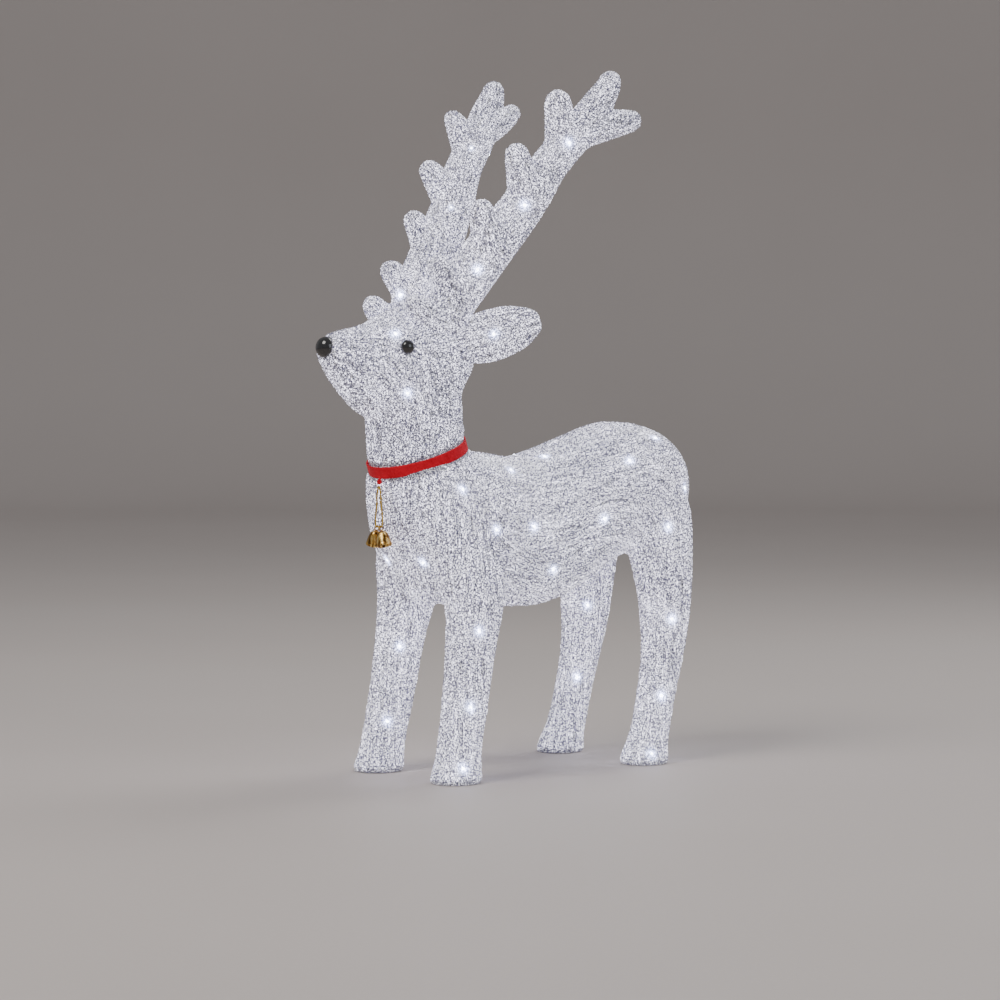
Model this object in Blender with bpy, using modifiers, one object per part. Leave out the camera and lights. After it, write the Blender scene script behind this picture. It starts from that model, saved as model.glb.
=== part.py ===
"""Light-up yard reindeer of fused clear acrylic thread, standing, about 0.62 m tall.

Metres, +Z up. It faces -Y, and its own left side is +X. The skins are hollow
half-shells that close on the centre plane; the head skin stands on the neck under
the ribbon collar. Antlers and ears are separate hollow mouldings on the head. The
lights are one wire string per side, fed from a battery tray in the belly.
Lengths in the tables below are millimetres, measured from the middle of the feet.
"""

import math

import bmesh
import bpy
import numpy as np
from mathutils import Matrix, Vector

MM = 0.001

# ---- driving dimensions, mm ------------------------------------------------------
SHIFT_Y = 21.3          # from the middle of the feet to the middle of the overall box
WALL = 3.0              # thickness of the fused acrylic skin
GAP = 0.3               # clearance between pieces that touch
SEAM = 0.15             # half of the gap between a left and a right shell

COLLAR_CENTRE = (0.0, -105.3, 280.5)
COLLAR_PITCH = math.radians(18.3)   # the collar is low at the throat, high at the nape
COLLAR_WIDTH = 10.0
COLLAR_INNER_R = 42.9
COLLAR_THICK = 1.1
NECK_R = 43.2

NOSE_R = 9.3
EYE_R = 6.4

BELL_MOUTH_R = 6.9
BELL_HEIGHT = 13.6
BELL_WALL = 0.9

# torso, slices across Y: y, bottom z, top z, half width
TORSO = (
    (-112, 188, 262, 40), (-95, 163, 276, 55), (-65, 149, 283, 61), (-30, 144.5, 280, 61),
    (0, 144.5, 276, 60), (30, 151.5, 281.5, 61), (60, 164, 289.5, 64), (90, 178, 298, 68),
    (115, 188, 305, 70), (136, 195, 304, 69), (156, 202, 297, 62), (172.5, 214, 284, 47),
)
# chest and neck, level slices: z, centre y, half depth, half width
NECK = (
    (154, -79, 20, 44), (166, -79.5, 28, 53), (186, -80, 38.5, 60), (206, -81.5, 48, 62),
    (226, -86, 50.5, 60), (246, -91, 49.5, 56), (263, -98, 45.5, 49),
)
# neck above the shoulders: z, centre y, radius, pitch in degrees
THROAT = (
    (280.5, -105.3, NECK_R, 18.3), (300, -108.0, 41.6, 10), (322, -109.5, 41.3, 3), (348, -111.0, 41.0, 0),
)
# head, slices across Y: y, bottom z, top z, half width
HEAD = (
    (-206, 361, 382, 11), (-198.5, 353, 386.5, 16), (-189, 341, 389, 20.5), (-177, 329, 391, 25),
    (-163, 318, 394, 30), (-148, 312, 400, 35), (-130, 308, 407, 39), (-110, 310, 411, 41.5),
    (-90, 318, 408, 41), (-75, 333, 397, 37), (-64, 350, 380, 27),
)
# legs: z, x, y, half width, half depth
FRONT_LEG = (
    (-12, 55.2, -108, 20.5, 22), (4, 54.6, -106, 20.5, 22), (14, 54, -104, 18.5, 19.5), (32, 53, -101, 17.6, 18.4),
    (66, 51.5, -94, 18.2, 19.4), (109, 49.8, -87, 19.4, 20.8), (142, 48.3, -81, 21.5, 24),
    (166, 45.5, -79.5, 23, 28.5), (190, 42, -79.5, 23.5, 32), (222, 38, -83, 18, 29), (244, 34, -86, 10, 18),
)
REAR_LEG = (
    (-12, 58.4, 107.5, 20, 21.5), (4, 58, 109.5, 20, 21.5), (14, 57.6, 112, 18, 18.6), (32, 57, 118, 16.2, 16.8),
    (62, 56.3, 125.5, 15.8, 16.6), (96, 55.5, 133.5, 17.2, 18.6), (130, 54.5, 137.5, 20.5, 21.5),
    (165, 52.5, 137.5, 23.5, 25.5), (203, 49, 135, 27, 30.5), (238, 46, 131, 26, 32), (264, 41, 122, 16, 20),
)
# antler tubes: x, y, z, radius along each, from the root to the centre of its round end
STEM = (
    (21, -95, 388, 19.5), (25, -88, 412, 20.3), (33.5, -66, 445, 20.6), (43, -40, 479, 19.3), (53, -19.5, 509, 17.4),
    (60, -4, 535, 15.6), (70, 22, 566, 14.8), (75.5, 35.5, 586, 13.4), (78.8, 44, 599, 11), (80, 47.5, 607.5, 9.4),
)
LEFT_TINES = (
    ((70, 20, 562, 14), (77, 49, 570, 12.5), (81, 71, 574, 9.4)),
    ((64, 6, 554, 14.5), (68.5, 0, 573, 13), (71, -5, 587, 11.2)),
    ((54, -24, 502, 16), (57.5, -35, 525, 13), (59.5, -42, 541.5, 9.8)),
    ((43, -58, 458, 16), (46.5, -67, 478, 12.5), (49.5, -73, 493, 9.6)),
    ((28, -84, 416, 16), (32, -98, 433, 12.8), (35, -109, 444.5, 9.8)),
    ((25, -104, 396, 15), (28, -119, 403, 12), (29.5, -130, 410.5, 9.6)),
)
RIGHT_TINES = (
    ((70, 20, 566, 13.6), (77, 50, 578, 11.2), (81, 70, 588.5, 8.2)),
    ((68, 8, 553, 14), (70.5, 1, 568, 11.5), (72, -6, 579.5, 8.2)),
    ((55, -20, 500, 15.5), (57, -33, 519, 13), (58.5, -44, 531.5, 9.6)),
    ((42, -55, 452, 16), (46, -61, 473, 13), (49, -69, 486, 9.6)),
    ((28, -84, 414, 15.5), (32, -97, 431, 12.5), (35, -106, 441, 9.8)),
    ((25, -104, 395, 15), (28, -120, 401.5, 12), (29.5, -130, 410.5, 9.4)),
)
# ear: share of the length, half width of the leaf, half thickness
EAR_ROOT = (33.0, -88.0, 376.0)
EAR_TIP = (86.0, -36.0, 399.0)
EAR = ((0.0, 14, 6.5), (0.18, 19.5, 7.5), (0.36, 22, 7.5), (0.56, 21.3, 7), (0.75, 17.8, 6.2), (0.89, 12.2, 5), (0.97, 6.3, 3))

EYE_AT = (-144.5, 375.4)      # y, z of both eyes
NOSE_AT = (-199.5, 374.6)     # y, z

# battery tray in the belly, mm
TRAY_X, TRAY_Y0, TRAY_Y1 = 33.0, -43.0, 23.6
TRAY_Z0, TRAY_Z1 = 148.2, 173.2
TRAY_PITCH = math.radians(4.8)     # the belly rises towards the back, and the tray with it
TRAY_WALL = 2.0
CELL_R, CELL_LENGTH, CELL_PITCH = 7.25, 50.5, 15.2
BAY_X, BAY_Y0, BAY_Y1 = 28.6, -37.5, 8.5
DOOR_THICK = 2.2
HINGE_Y, HINGE_Z = -40.3, 150.4
BUTTON_R, BUTTON_TRAVEL, BUTTON_Y = 4.0, 1.2, 16.9

WIRE_R = 0.8
BULB_R = 2.4
# heights of the lights in each leg, left and right
FRONT_LIGHTS = {1: (131.0, 66.0, 14.0), -1: (111.0, 45.0)}
REAR_LIGHTS = {1: (130.0, 61.0, 10.0), -1: (136.0, 69.0)}
# lights on the wall of the left half of the body; the right half mirrors them
FLANK_LIGHTS = ((46, 0, 182), (53, -24, 218), (51, -66, 217))
CHEST_LIGHTS = ((23, -108.5, 195), (41, -97, 248), (32, -34, 258))
BACK_LIGHTS = ((17, 26, 264), (52, 57, 223), (48, 94, 266), (33, 128, 270), (45, 143, 246), (58, 128, 213))
CHEEK_LIGHTS = ((24.5, -140, 339), (18.5, -146, 381))
EAR_LIGHT = 0.45                        # share of the ear's length
ANTLER_LIGHTS = ((32.0, -68, 440), (48.5, -28, 496), (65.5, 9, 551))

# ---- materials -------------------------------------------------------------------


def material(name, colour, roughness, metallic=0.0, transmission=0.0, glow=0.0):
    found = bpy.data.materials.new(name)
    found.use_nodes = True
    found.diffuse_color = (*colour, 1.0)
    shader = found.node_tree.nodes["Principled BSDF"]
    shader.inputs["Base Color"].default_value = (*colour, 1.0)
    shader.inputs["Roughness"].default_value = roughness
    shader.inputs["Metallic"].default_value = metallic
    shader.inputs["Transmission Weight"].default_value = transmission
    if glow:
        shader.inputs["Emission Color"].default_value = (0.88, 0.92, 1.0, 1.0)
        shader.inputs["Emission Strength"].default_value = glow
    return found


SKIN_COLOUR = (0.80, 0.81, 0.86)
SURFACES = {
    "skin": (SKIN_COLOUR, 0.28, 0.0, 0.15, 0.0),
    "black": ((0.012, 0.012, 0.013), 0.12, 0.0, 0.0, 0.0),
    "ribbon": ((0.55, 0.012, 0.03), 0.75, 0.0, 0.0, 0.0),
    "gold_cord": ((0.62, 0.42, 0.07), 0.5, 0.3, 0.0, 0.0),
    "brass": ((0.50, 0.31, 0.10), 0.34, 1.0, 0.0, 0.0),
    "iron": ((0.30, 0.28, 0.26), 0.45, 1.0, 0.0, 0.0),
    "white_plastic": ((0.82, 0.83, 0.84), 0.42, 0.0, 0.0, 0.0),
    "clear_plastic": ((0.86, 0.88, 0.9), 0.2, 0.0, 0.3, 0.0),
    "rubber": ((0.05, 0.05, 0.055), 0.7, 0.0, 0.0, 0.0),
    "cell": ((0.10, 0.11, 0.12), 0.35, 0.0, 0.0, 0.0),
    "steel": ((0.62, 0.63, 0.65), 0.28, 1.0, 0.0, 0.0),
    "board": ((0.02, 0.16, 0.07), 0.5, 0.0, 0.0, 0.0),
    "light": ((0.9, 0.93, 1.0), 0.15, 0.0, 0.2, 2.0),
}

# ---- scene ----------------------------------------------------------------------

for leftover in list(bpy.data.objects):
    bpy.data.objects.remove(leftover, do_unlink=True)

PARTS = bpy.data.collections.new("light_up_reindeer")
TOOLS = bpy.data.collections.new("cutters")
bpy.context.scene.collection.children.link(PARTS)
bpy.context.scene.collection.children.link(TOOLS)


def add(name, mesh, surface=None):
    """Links a mesh as a part with its own material, or as a hidden helper."""
    obj = bpy.data.objects.new(name, mesh)
    if surface is None:
        TOOLS.objects.link(obj)
        obj.hide_render = True
        obj.display_type = "WIRE"
    else:
        PARTS.objects.link(obj)
        mesh.materials.append(material(name, *SURFACES[surface]))
    return obj


def mesh_of(name, bm):
    bmesh.ops.recalc_face_normals(bm, faces=bm.faces)
    mesh = bpy.data.meshes.new(name)
    bm.to_mesh(mesh)
    bm.free()
    return mesh


# ---- lofts ------------------------------------------------------------------------


def oval(count, power):
    """Unit superellipse as (a, b) pairs."""
    points = []
    for k in range(count):
        t = 2 * math.pi * (k + 0.5) / count
        c, s = math.cos(t), math.sin(t)
        points.append((math.copysign(abs(c) ** (2 / power), c), math.copysign(abs(s) ** (2 / power), s)))
    return points


def skin_rings(bm, rings):
    """Bridges rings of Vectors (mm) and closes both ends."""
    loops = [[bm.verts.new(p * MM) for p in ring] for ring in rings]
    for first, second in zip(loops, loops[1:]):
        for k in range(len(first)):
            n = (k + 1) % len(first)
            bm.faces.new((first[k], first[n], second[n], second[k]))
    bm.faces.new(loops[0][::-1])
    bm.faces.new(loops[-1])


def smooth_rows(rows, between):
    """Rows of numbers, interpolated by Catmull-Rom so that the lofts have no kinks."""
    rows = [np.array(row, float) for row in rows]
    out = []
    for k in range(len(rows) - 1):
        p0, p1, p2, p3 = rows[max(k - 1, 0)], rows[k], rows[k + 1], rows[min(k + 2, len(rows) - 1)]
        for step in range(between):
            t = step / between
            out.append(
                0.5 * (2 * p1 + (p2 - p0) * t + (2 * p0 - 5 * p1 + 4 * p2 - p3) * t * t + (3 * p1 - p0 - 3 * p2 + p3) * t ** 3)
            )
    out.append(rows[-1])
    return out


def flat_bottom(count, power, low_power):
    """An oval whose lower half is squarer."""
    return [low if low[1] < 0 else high for low, high in zip(oval(count, low_power), oval(count, power))]


def along_y(bm, table, inset, power, belly=0.0):
    """belly makes the underside squarer where the battery tray is."""
    rings = []
    for y, low, high, half in smooth_rows(table, 2):
        here = power + belly * max(0.0, min(1.0, (y + 95) / 35, (75 - y) / 35))
        rings.append(
            [Vector((a * (half - inset), y, (low + high) / 2 + b * ((high - low) / 2 - inset))) for a, b in flat_bottom(28, power, here)]
        )
    shrink = inset / 2
    for ring in (rings[0], rings[-1]):
        middle = sum((p.y for p in ring)) / len(ring)
        toward = shrink if ring is rings[0] else -shrink
        for p in ring:
            p.y = middle + toward
    skin_rings(bm, rings)


def leg(bm, table, side, inset):
    rings = []
    for z, x, y, half_x, half_y in smooth_rows(table, 2):
        if inset and z < WALL:
            continue
        rings.append([Vector((side * (x + a * (half_x - inset)), y + b * (half_y - inset), z)) for a, b in oval(20, 2.1)])
    skin_rings(bm, rings)


def neck(bm, inset):
    rings = []
    for z, y, depth, half in smooth_rows(NECK, 2)[:-1]:
        rings.append([Vector((a * (half - inset), y + b * (depth - inset), z)) for a, b in oval(28, 2.35)])
    for z, y, radius, pitch in smooth_rows(THROAT, 2):
        lean = math.radians(pitch)
        rings.append(
            [
                Vector((a * (radius - inset), y + b * (radius - inset) * math.cos(lean), z + b * (radius - inset) * math.sin(lean)))
                for a, b in oval(28, 2.0)
            ]
        )
    skin_rings(bm, rings)


def tube(bm, points, inset, count=14, round_end=True):
    """A round-ended tube through (x, y, z, radius) rows."""
    rows = smooth_rows(points, 2)
    centres = [Vector(row[:3]) for row in rows]
    radii = [row[3] - inset for row in rows]
    rings = []
    side = None
    for k, (centre, radius) in enumerate(zip(centres, radii)):
        ahead = (centres[min(k + 1, len(centres) - 1)] - centres[max(k - 1, 0)]).normalized()
        if side is None:
            side = ahead.orthogonal().normalized()
        side = (side - ahead * side.dot(ahead)).normalized()
        other = ahead.cross(side)
        turn = [2 * math.pi * j / count for j in range(count)]
        rings.append([centre + (side * math.cos(t) + other * math.sin(t)) * radius for t in turn])
        if k == len(centres) - 1 and round_end:
            for lat in (28, 54, 76):
                a = math.radians(lat)
                rings.append(
                    [centre + ahead * radius * math.sin(a) + (side * math.cos(t) + other * math.sin(t)) * radius * math.cos(a) for t in turn]
                )
    skin_rings(bm, rings)


def fused(name, fill, voxel, smooth, keep, surface=None):
    """Overlapping closed lofts, fused into one skin and thinned out."""
    bm = bmesh.new()
    fill(bm)
    obj = add(name, mesh_of(name, bm), surface)
    remesh = obj.modifiers.new("fuse", "REMESH")
    remesh.mode = "VOXEL"
    remesh.voxel_size = voxel * MM
    ease = obj.modifiers.new("ease", "SMOOTH")
    ease.factor = 0.5
    ease.iterations = smooth
    thin = obj.modifiers.new("thin", "DECIMATE")
    thin.ratio = keep
    return obj


def boolean(obj, cutter, operation="DIFFERENCE"):
    step = obj.modifiers.new(cutter.name, "BOOLEAN")
    step.operation = operation
    step.solver = "EXACT"
    step.object = cutter
    return step


def box(name, low, high, surface=None):
    bm = bmesh.new()
    bmesh.ops.create_cube(bm, size=1.0)
    low, high = Vector(low) * MM, Vector(high) * MM
    for v in bm.verts:
        v.co = Vector([(low[i] + high[i]) / 2 + v.co[i] * (high[i] - low[i]) for i in range(3)])
    return add(name, mesh_of(name, bm), surface)


def rod(name, start, end, radius, segments=20, surface=None, end_radius=None):
    start, end = Vector(start) * MM, Vector(end) * MM
    bm = bmesh.new()
    turn = (end - start).to_track_quat("Z", "Y").to_matrix().to_4x4()
    bmesh.ops.create_cone(
        bm, cap_ends=True, segments=segments, radius1=radius * MM,
        radius2=(radius if end_radius is None else end_radius) * MM, depth=(end - start).length,
        matrix=Matrix.Translation((start + end) / 2) @ turn,
    )
    return add(name, mesh_of(name, bm), surface)


def turned(name, profile, segments, surface=None, at=(0, 0, 0), turn=None):
    """Revolves a closed (radius, height) outline in mm about its own Z."""
    mesh = bpy.data.meshes.new(name)
    points = [(r * MM, 0, z * MM) for r, z in profile]
    mesh.from_pydata(points, [(k, (k + 1) % len(points)) for k in range(len(points))] if profile[0][0] > 0.001 or profile[-1][0] > 0.001
                     else [(k, k + 1) for k in range(len(points) - 1)], [])
    obj = add(name, mesh, surface)
    screw = obj.modifiers.new("turn", "SCREW")
    screw.steps = screw.render_steps = segments
    screw.use_merge_vertices = True
    screw.merge_threshold = 0.00002
    # an outline drawn anticlockwise would sweep inside out
    area = sum(a[0] * b[1] - b[0] * a[1] for a, b in zip(profile, profile[1:] + profile[:1]))
    screw.use_normal_flip = area > 0
    obj.matrix_world = Matrix.Translation(Vector(at) * MM) @ (turn or Matrix.Identity(4))
    return obj


# ---- skins ------------------------------------------------------------------------


def whole_skin(inset):
    def fill(bm):
        along_y(bm, TORSO, inset, 2.25, 1.0)
        neck(bm, inset)
        along_y(bm, HEAD, inset, 2.1)
        for side in (-1, 1):
            leg(bm, FRONT_LEG, side, inset)
            leg(bm, REAR_LEG, side, inset)
    return fill


skin_outside = fused("skin_outside", whole_skin(0.0), 5.1, 5, 0.079)
skin_inside = fused("skin_inside", whole_skin(WALL), 5.5, 5, 0.055)

# the same outside, a clearance larger: pieces that sit on the skin are cut with it
seat = add("seat", skin_outside.data.copy())
for source in skin_outside.modifiers:
    twin = seat.modifiers.new(source.name, source.type)
    if source.type == "REMESH":
        twin.mode, twin.voxel_size = source.mode, source.voxel_size
    elif source.type == "SMOOTH":
        twin.factor, twin.iterations = source.factor, source.iterations
    else:
        twin.ratio = source.ratio
grow = seat.modifiers.new("clearance", "DISPLACE")
grow.strength = 0.45 * MM
grow.mid_level = 0.0

COLLAR_TURN = Matrix.Rotation(COLLAR_PITCH, 4, "X")

def body_block(side):
    """The block for a body half: flat at the ground, sloping at the neck joint."""
    bm = bmesh.new()
    low, high = (SEAM, 300.0) if side > 0 else (-300.0, -SEAM)
    corners = []
    for x in (low, high):
        for y in (-260.0, 300.0):
            joint = COLLAR_CENTRE[2] + math.tan(COLLAR_PITCH) * (y - COLLAR_CENTRE[1])
            for z in (0.0, joint - GAP / 2):
                corners.append(bm.verts.new(Vector((x, y, z)) * MM))
    for quad in ((0, 1, 3, 2), (4, 6, 7, 5), (0, 4, 5, 1), (2, 3, 7, 6), (0, 2, 6, 4), (1, 5, 7, 3)):
        bm.faces.new([corners[k] for k in quad])
    return bm


def head_block(side):
    bm = bmesh.new()
    low, high = (SEAM, 300.0) if side > 0 else (-300.0, -SEAM)
    corners = []
    for x in (low, high):
        for y in (-260.0, 20.0):
            joint = COLLAR_CENTRE[2] + math.tan(COLLAR_PITCH) * (y - COLLAR_CENTRE[1])
            for z in (joint + GAP / 2, 700.0):
                corners.append(bm.verts.new(Vector((x, y, z)) * MM))
    for quad in ((0, 1, 3, 2), (4, 6, 7, 5), (0, 4, 5, 1), (2, 3, 7, 6), (0, 2, 6, 4), (1, 5, 7, 3)):
        bm.faces.new([corners[k] for k in quad])
    return bm


# grooves and holes in the skins
groove = turned(
    "collar_groove",
    ((COLLAR_INNER_R - GAP, -COLLAR_WIDTH / 2 - 0.4), (COLLAR_INNER_R + 12, -COLLAR_WIDTH / 2 - 0.4),
     (COLLAR_INNER_R + 12, COLLAR_WIDTH / 2 + 0.4), (COLLAR_INNER_R - GAP, COLLAR_WIDTH / 2 + 0.4)),
    48, at=COLLAR_CENTRE, turn=COLLAR_TURN,
)
FORWARD = Vector((0, -1.0, 0.15)).normalized()
nose_middle = Vector((0, NOSE_AT[0] - 5.2, NOSE_AT[1] + 0.6))
nose_hole = rod("nose_hole", nose_middle - FORWARD * 18, nose_middle, 2.55, 16)
nose_face = rod("nose_face", nose_middle - FORWARD * 2.55, nose_middle + FORWARD * 20, NOSE_R + GAP, 28)
LEAN = (
    Matrix.Translation(Vector((0, TRAY_Y0, TRAY_Z0)) * MM) @ Matrix.Rotation(TRAY_PITCH, 4, "X") @ Matrix.Translation(-Vector((0, TRAY_Y0, TRAY_Z0)) * MM)
)
hatch = box("belly_hatch", (-TRAY_X - GAP, TRAY_Y0 - GAP, TRAY_Z0 - 12), (TRAY_X + GAP, TRAY_Y1 + GAP, TRAY_Z1 + 2))

hatch.matrix_world = LEAN

STEM_ROOT = Vector(STEM[1][:3])
for side, word in ((1, "left"), (-1, "right")):
    body = add(f"body_shell_{word}", mesh_of(f"body_shell_{word}", body_block(side)), "skin")
    for cutter, operation in ((skin_outside, "INTERSECT"), (skin_inside, "DIFFERENCE"), (groove, "DIFFERENCE"), (hatch, "DIFFERENCE")):
        boolean(body, cutter, operation)

    head = add(f"head_shell_{word}", mesh_of(f"head_shell_{word}", head_block(side)), "skin")
    outward = Vector((side * 1.0, -0.14, 0.02)).normalized()
    eye_middle = Vector((side * 36.6, EYE_AT[0], EYE_AT[1]))
    eye_hole = rod(f"eye_hole_{word}", eye_middle - outward * 14, eye_middle - outward * 0.0, 1.85, 12)
    eye_face = rod(f"eye_face_{word}", eye_middle - outward * 1.55, eye_middle + outward * 12, EYE_R + GAP, 20)
    stem_hole = rod(f"antler_hole_{word}", (side * 17, -99, 374), (side * 23.5, -87, 425), 8.0, 16)
    ear_hole = rod(f"ear_hole_{word}", (side * 22, -99, 371), (side * 56, -66, 385), 5.0, 14)
    for cutter, operation in (
        (skin_outside, "INTERSECT"), (skin_inside, "DIFFERENCE"), (groove, "DIFFERENCE"),
        (nose_hole, "DIFFERENCE"), (nose_face, "DIFFERENCE"), (eye_hole, "DIFFERENCE"), (eye_face, "DIFFERENCE"), (stem_hole, "DIFFERENCE"), (ear_hole, "DIFFERENCE"),
    ):
        boolean(head, cutter, operation)

    # antler: stem and tines in one hollow moulding, open at the root
    def antler_fill(bm, side=side):
        for rows in (STEM, *(LEFT_TINES if side > 0 else RIGHT_TINES)):
            tube(bm, [(side * x, y, z, r) for x, y, z, r in rows], 0.0)
    antler = fused(f"antler_{word}", antler_fill, 4.0, 3, 0.08, "skin")
    bore_bm = bmesh.new()
    tube(bore_bm, [(side * x, y, z, max(r, 12.5)) for x, y, z, r in STEM[:-1]], 6.5, count=9)
    bore = add(f"antler_bore_{word}", mesh_of(f"antler_bore_{word}", bore_bm))
    # the centre plane keeps the two roots apart
    keep_low, keep_high = ((-120, -200, 300), (GAP, 120, 700)) if side > 0 else ((-GAP, -200, 300), (120, 120, 700))
    apart = box(f"antler_apart_{word}", keep_low, keep_high)
    boolean(antler, apart)
    boolean(antler, seat)
    boolean(antler, bore)

    # ear: a hollow leaf, open at the root
    root, tip = Vector((side * EAR_ROOT[0], EAR_ROOT[1], EAR_ROOT[2])), Vector((side * EAR_TIP[0], EAR_TIP[1], EAR_TIP[2]))
    axis = (tip - root).normalized()
    across = Vector((-side * 0.12, -0.1, 1.0))
    across = (across - axis * across.dot(axis)).normalized()
    thick = axis.cross(across).normalized()

    def leaf(bm, inset, start):
        rings = []
        rows = EAR
        for share, half, depth in rows:
            if inset and share > 0.86:
                continue
            centre = root + (tip - root) * share
            rings.append([centre + across * a * (half - inset) + thick * b * (depth - inset) for a, b in oval(12, 2.0)])
        if start:
            rings.insert(0, [p - axis * start for p in rings[0]])
        skin_rings(bm, rings)

    ear_bm = bmesh.new()
    leaf(ear_bm, 0.0, 0.0)
    ear = add(f"ear_{word}", mesh_of(f"ear_{word}", ear_bm), "skin")
    hollow_bm = bmesh.new()
    leaf(hollow_bm, 2.6, 12.0)
    hollow = add(f"ear_hollow_{word}", mesh_of(f"ear_hollow_{word}", hollow_bm))
    boolean(ear, seat)
    antler_near = add(f"antler_clear_{word}", antler.data.copy())
    for kind, values in (("REMESH", {"mode": "VOXEL", "voxel_size": 4.0 * MM}), ("SMOOTH", {"factor": 0.5, "iterations": 3}), ("DECIMATE", {"ratio": 0.08}), ("DISPLACE", {"strength": 0.4 * MM, "mid_level": 0.0})):
        step = antler_near.modifiers.new(kind.lower(), kind)
        for key, value in values.items():
            setattr(step, key, value)
    boolean(ear, antler_near)
    boolean(ear, hollow)

    # eye: a glossy bead on a short stem
    eye = turned(
        f"eye_{word}",
        [(0, -8)] + [(1.5, -8), (1.5, -1.2), (EYE_R - 0.5, -1.2)] + [(EYE_R * math.cos(math.radians(a)), EYE_R * 0.82 * math.sin(math.radians(a))) for a in (0, 18, 36, 54, 72)] + [(0, EYE_R * 0.82)],
        20, "black", at=eye_middle, turn=outward.to_track_quat("Z", "Y").to_matrix().to_4x4(),
    )

# nose: a glossy dome on a stem that goes through the muzzle
nose = turned(
    "nose",
    [(0, -11), (2.2, -11), (2.2, -2.2), (NOSE_R - 1.2, -2.2)] + [(NOSE_R * math.cos(math.radians(a)), NOSE_R * 0.86 * math.sin(math.radians(a))) for a in (-8, 8, 24, 40, 56, 74)] + [(0, NOSE_R * 0.86)],
    24, "black", at=nose_middle, turn=FORWARD.to_track_quat("Z", "Y").to_matrix().to_4x4(),
)

# ---- collar, knot and bells ----------------------------------------------------------

collar = turned(
    "collar_ribbon",
    ((COLLAR_INNER_R, -COLLAR_WIDTH / 2), (COLLAR_INNER_R + COLLAR_THICK, -COLLAR_WIDTH / 2),
     (COLLAR_INNER_R + COLLAR_THICK, COLLAR_WIDTH / 2), (COLLAR_INNER_R, COLLAR_WIDTH / 2)),
    40, "ribbon", at=COLLAR_CENTRE, turn=COLLAR_TURN,
)
# the sleeve that the neck and the head skin are glued over
sleeve = turned("neck_sleeve", ((34.4, -10), (36.0, -10), (36.0, 10), (34.4, 10)), 32, "white_plastic", at=COLLAR_CENTRE, turn=COLLAR_TURN)

throat = Vector(COLLAR_CENTRE) + COLLAR_TURN @ Vector((0, -(COLLAR_INNER_R + COLLAR_THICK / 2), -COLLAR_WIDTH / 2))
KNOT = Vector((0.0, throat.y - 2.2, throat.z - 3.1))      # middle of the knot
PIVOT = KNOT + Vector((0, -0.2, -1.4))                     # where the cord loop turns in it
knot = turned(
    "collar_knot", [(0, -3.0), (1.6, -2.7), (2.6, -1.3), (2.6, 0.9), (1.7, 2.4), (0, 2.7)], 14, "ribbon", at=KNOT,
)


def curve(name, splines, radius, surface, sides=1, cyclic=False):
    """A round wire through (x, y, z, swell) points; swell thickens it where a bulb sits."""
    data = bpy.data.curves.new(name, "CURVE")
    data.dimensions = "3D"
    data.bevel_depth = radius * MM
    data.bevel_resolution = sides
    data.use_fill_caps = True
    data.resolution_u = 1
    for points in splines:
        spline = data.splines.new("POLY")
        spline.points.add(len(points) - 1)
        spline.use_cyclic_u = cyclic
        for point, row in zip(spline.points, points):
            point.co = (row[0] * MM, row[1] * MM, row[2] * MM, 1.0)
            point.radius = row[3] if len(row) > 3 else 1.0
    obj = bpy.data.objects.new(name, data)
    PARTS.objects.link(obj)
    data.materials.append(material(name, *SURFACES[surface]))
    return obj


LOOP_DROP = 35.5      # from the knot to the bottom of the loop
# half of the loop's outline: half width, share of the drop
LOOP_HALF = ((0.0, 0.0), (1.0, 0.03), (2.0, 0.14), (2.7, 0.3), (3.3, 0.48), (4.1, 0.66), (4.8, 0.82), (5.2, 0.92), (5.0, 0.975), (4.2, 1.0), (2.0, 1.0), (0.0, 1.0))
RING_R, RING_WIRE = 2.1, 0.6
HANG_X = 3.0          # where each bell's ring rides on the bottom of the loop
BELL_LEAN = math.radians(17.5)


def loop_points():
    """The hanging cord loop: pinched in the knot, bowed, and flat across the bottom."""
    top = PIVOT + Vector((0, 0, -2.25))
    right = [(top.x + w, top.y, top.z - LOOP_DROP * d) for w, d in LOOP_HALF]
    left = [(top.x - w, top.y, top.z - LOOP_DROP * d) for w, d in LOOP_HALF[1:-1]]
    return right + left[::-1]


bell_cord = curve("bell_cord", [loop_points()], 0.55, "gold_cord", sides=1, cyclic=True)
LOOP_LOW = min(row[2] for row in loop_points())


def bell_profile():
    """Outside line down, inside line back up, of an open-mouthed cup bell."""
    outer = [(0.0, 0.0), (2.0, -0.2), (3.6, -1.2), (4.6, -3.0), (5.4, -5.6), (6.1, -8.4), (6.6, -11.2), (BELL_MOUTH_R, -BELL_HEIGHT)]
    inner = [(BELL_MOUTH_R - BELL_WALL, -BELL_HEIGHT), (6.6 - BELL_WALL, -11.2), (6.1 - BELL_WALL, -8.5), (5.4 - BELL_WALL, -5.8), (3.6, -3.7), (2.6, -2.2), (1.5, -1.4), (0.0, -1.2)]
    return outer + inner


def ring(name, frame, middle, radius, wire, segments, sides, face):
    """A wire ring in a leaning frame; face is the direction that its hole faces."""
    bm = bmesh.new()
    turn = Vector(face).to_track_quat("Z", "Y").to_matrix()
    loops = []
    for j in range(segments):
        a = 2 * math.pi * j / segments
        loop = []
        for k in range(sides):
            b = 2 * math.pi * k / sides
            reach = radius + wire * math.cos(b)
            local = turn @ Vector((reach * math.cos(a), reach * math.sin(a), wire * math.sin(b))) + Vector(middle)
            loop.append(bm.verts.new(local * MM))
        loops.append(loop)
    for j in range(segments):
        first, second = loops[j], loops[(j + 1) % segments]
        for k in range(sides):
            n = (k + 1) % sides
            bm.faces.new((first[k], first[n], second[n], second[k]))
    obj = add(name, mesh_of(name, bm))
    obj.matrix_world = frame
    return obj


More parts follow.
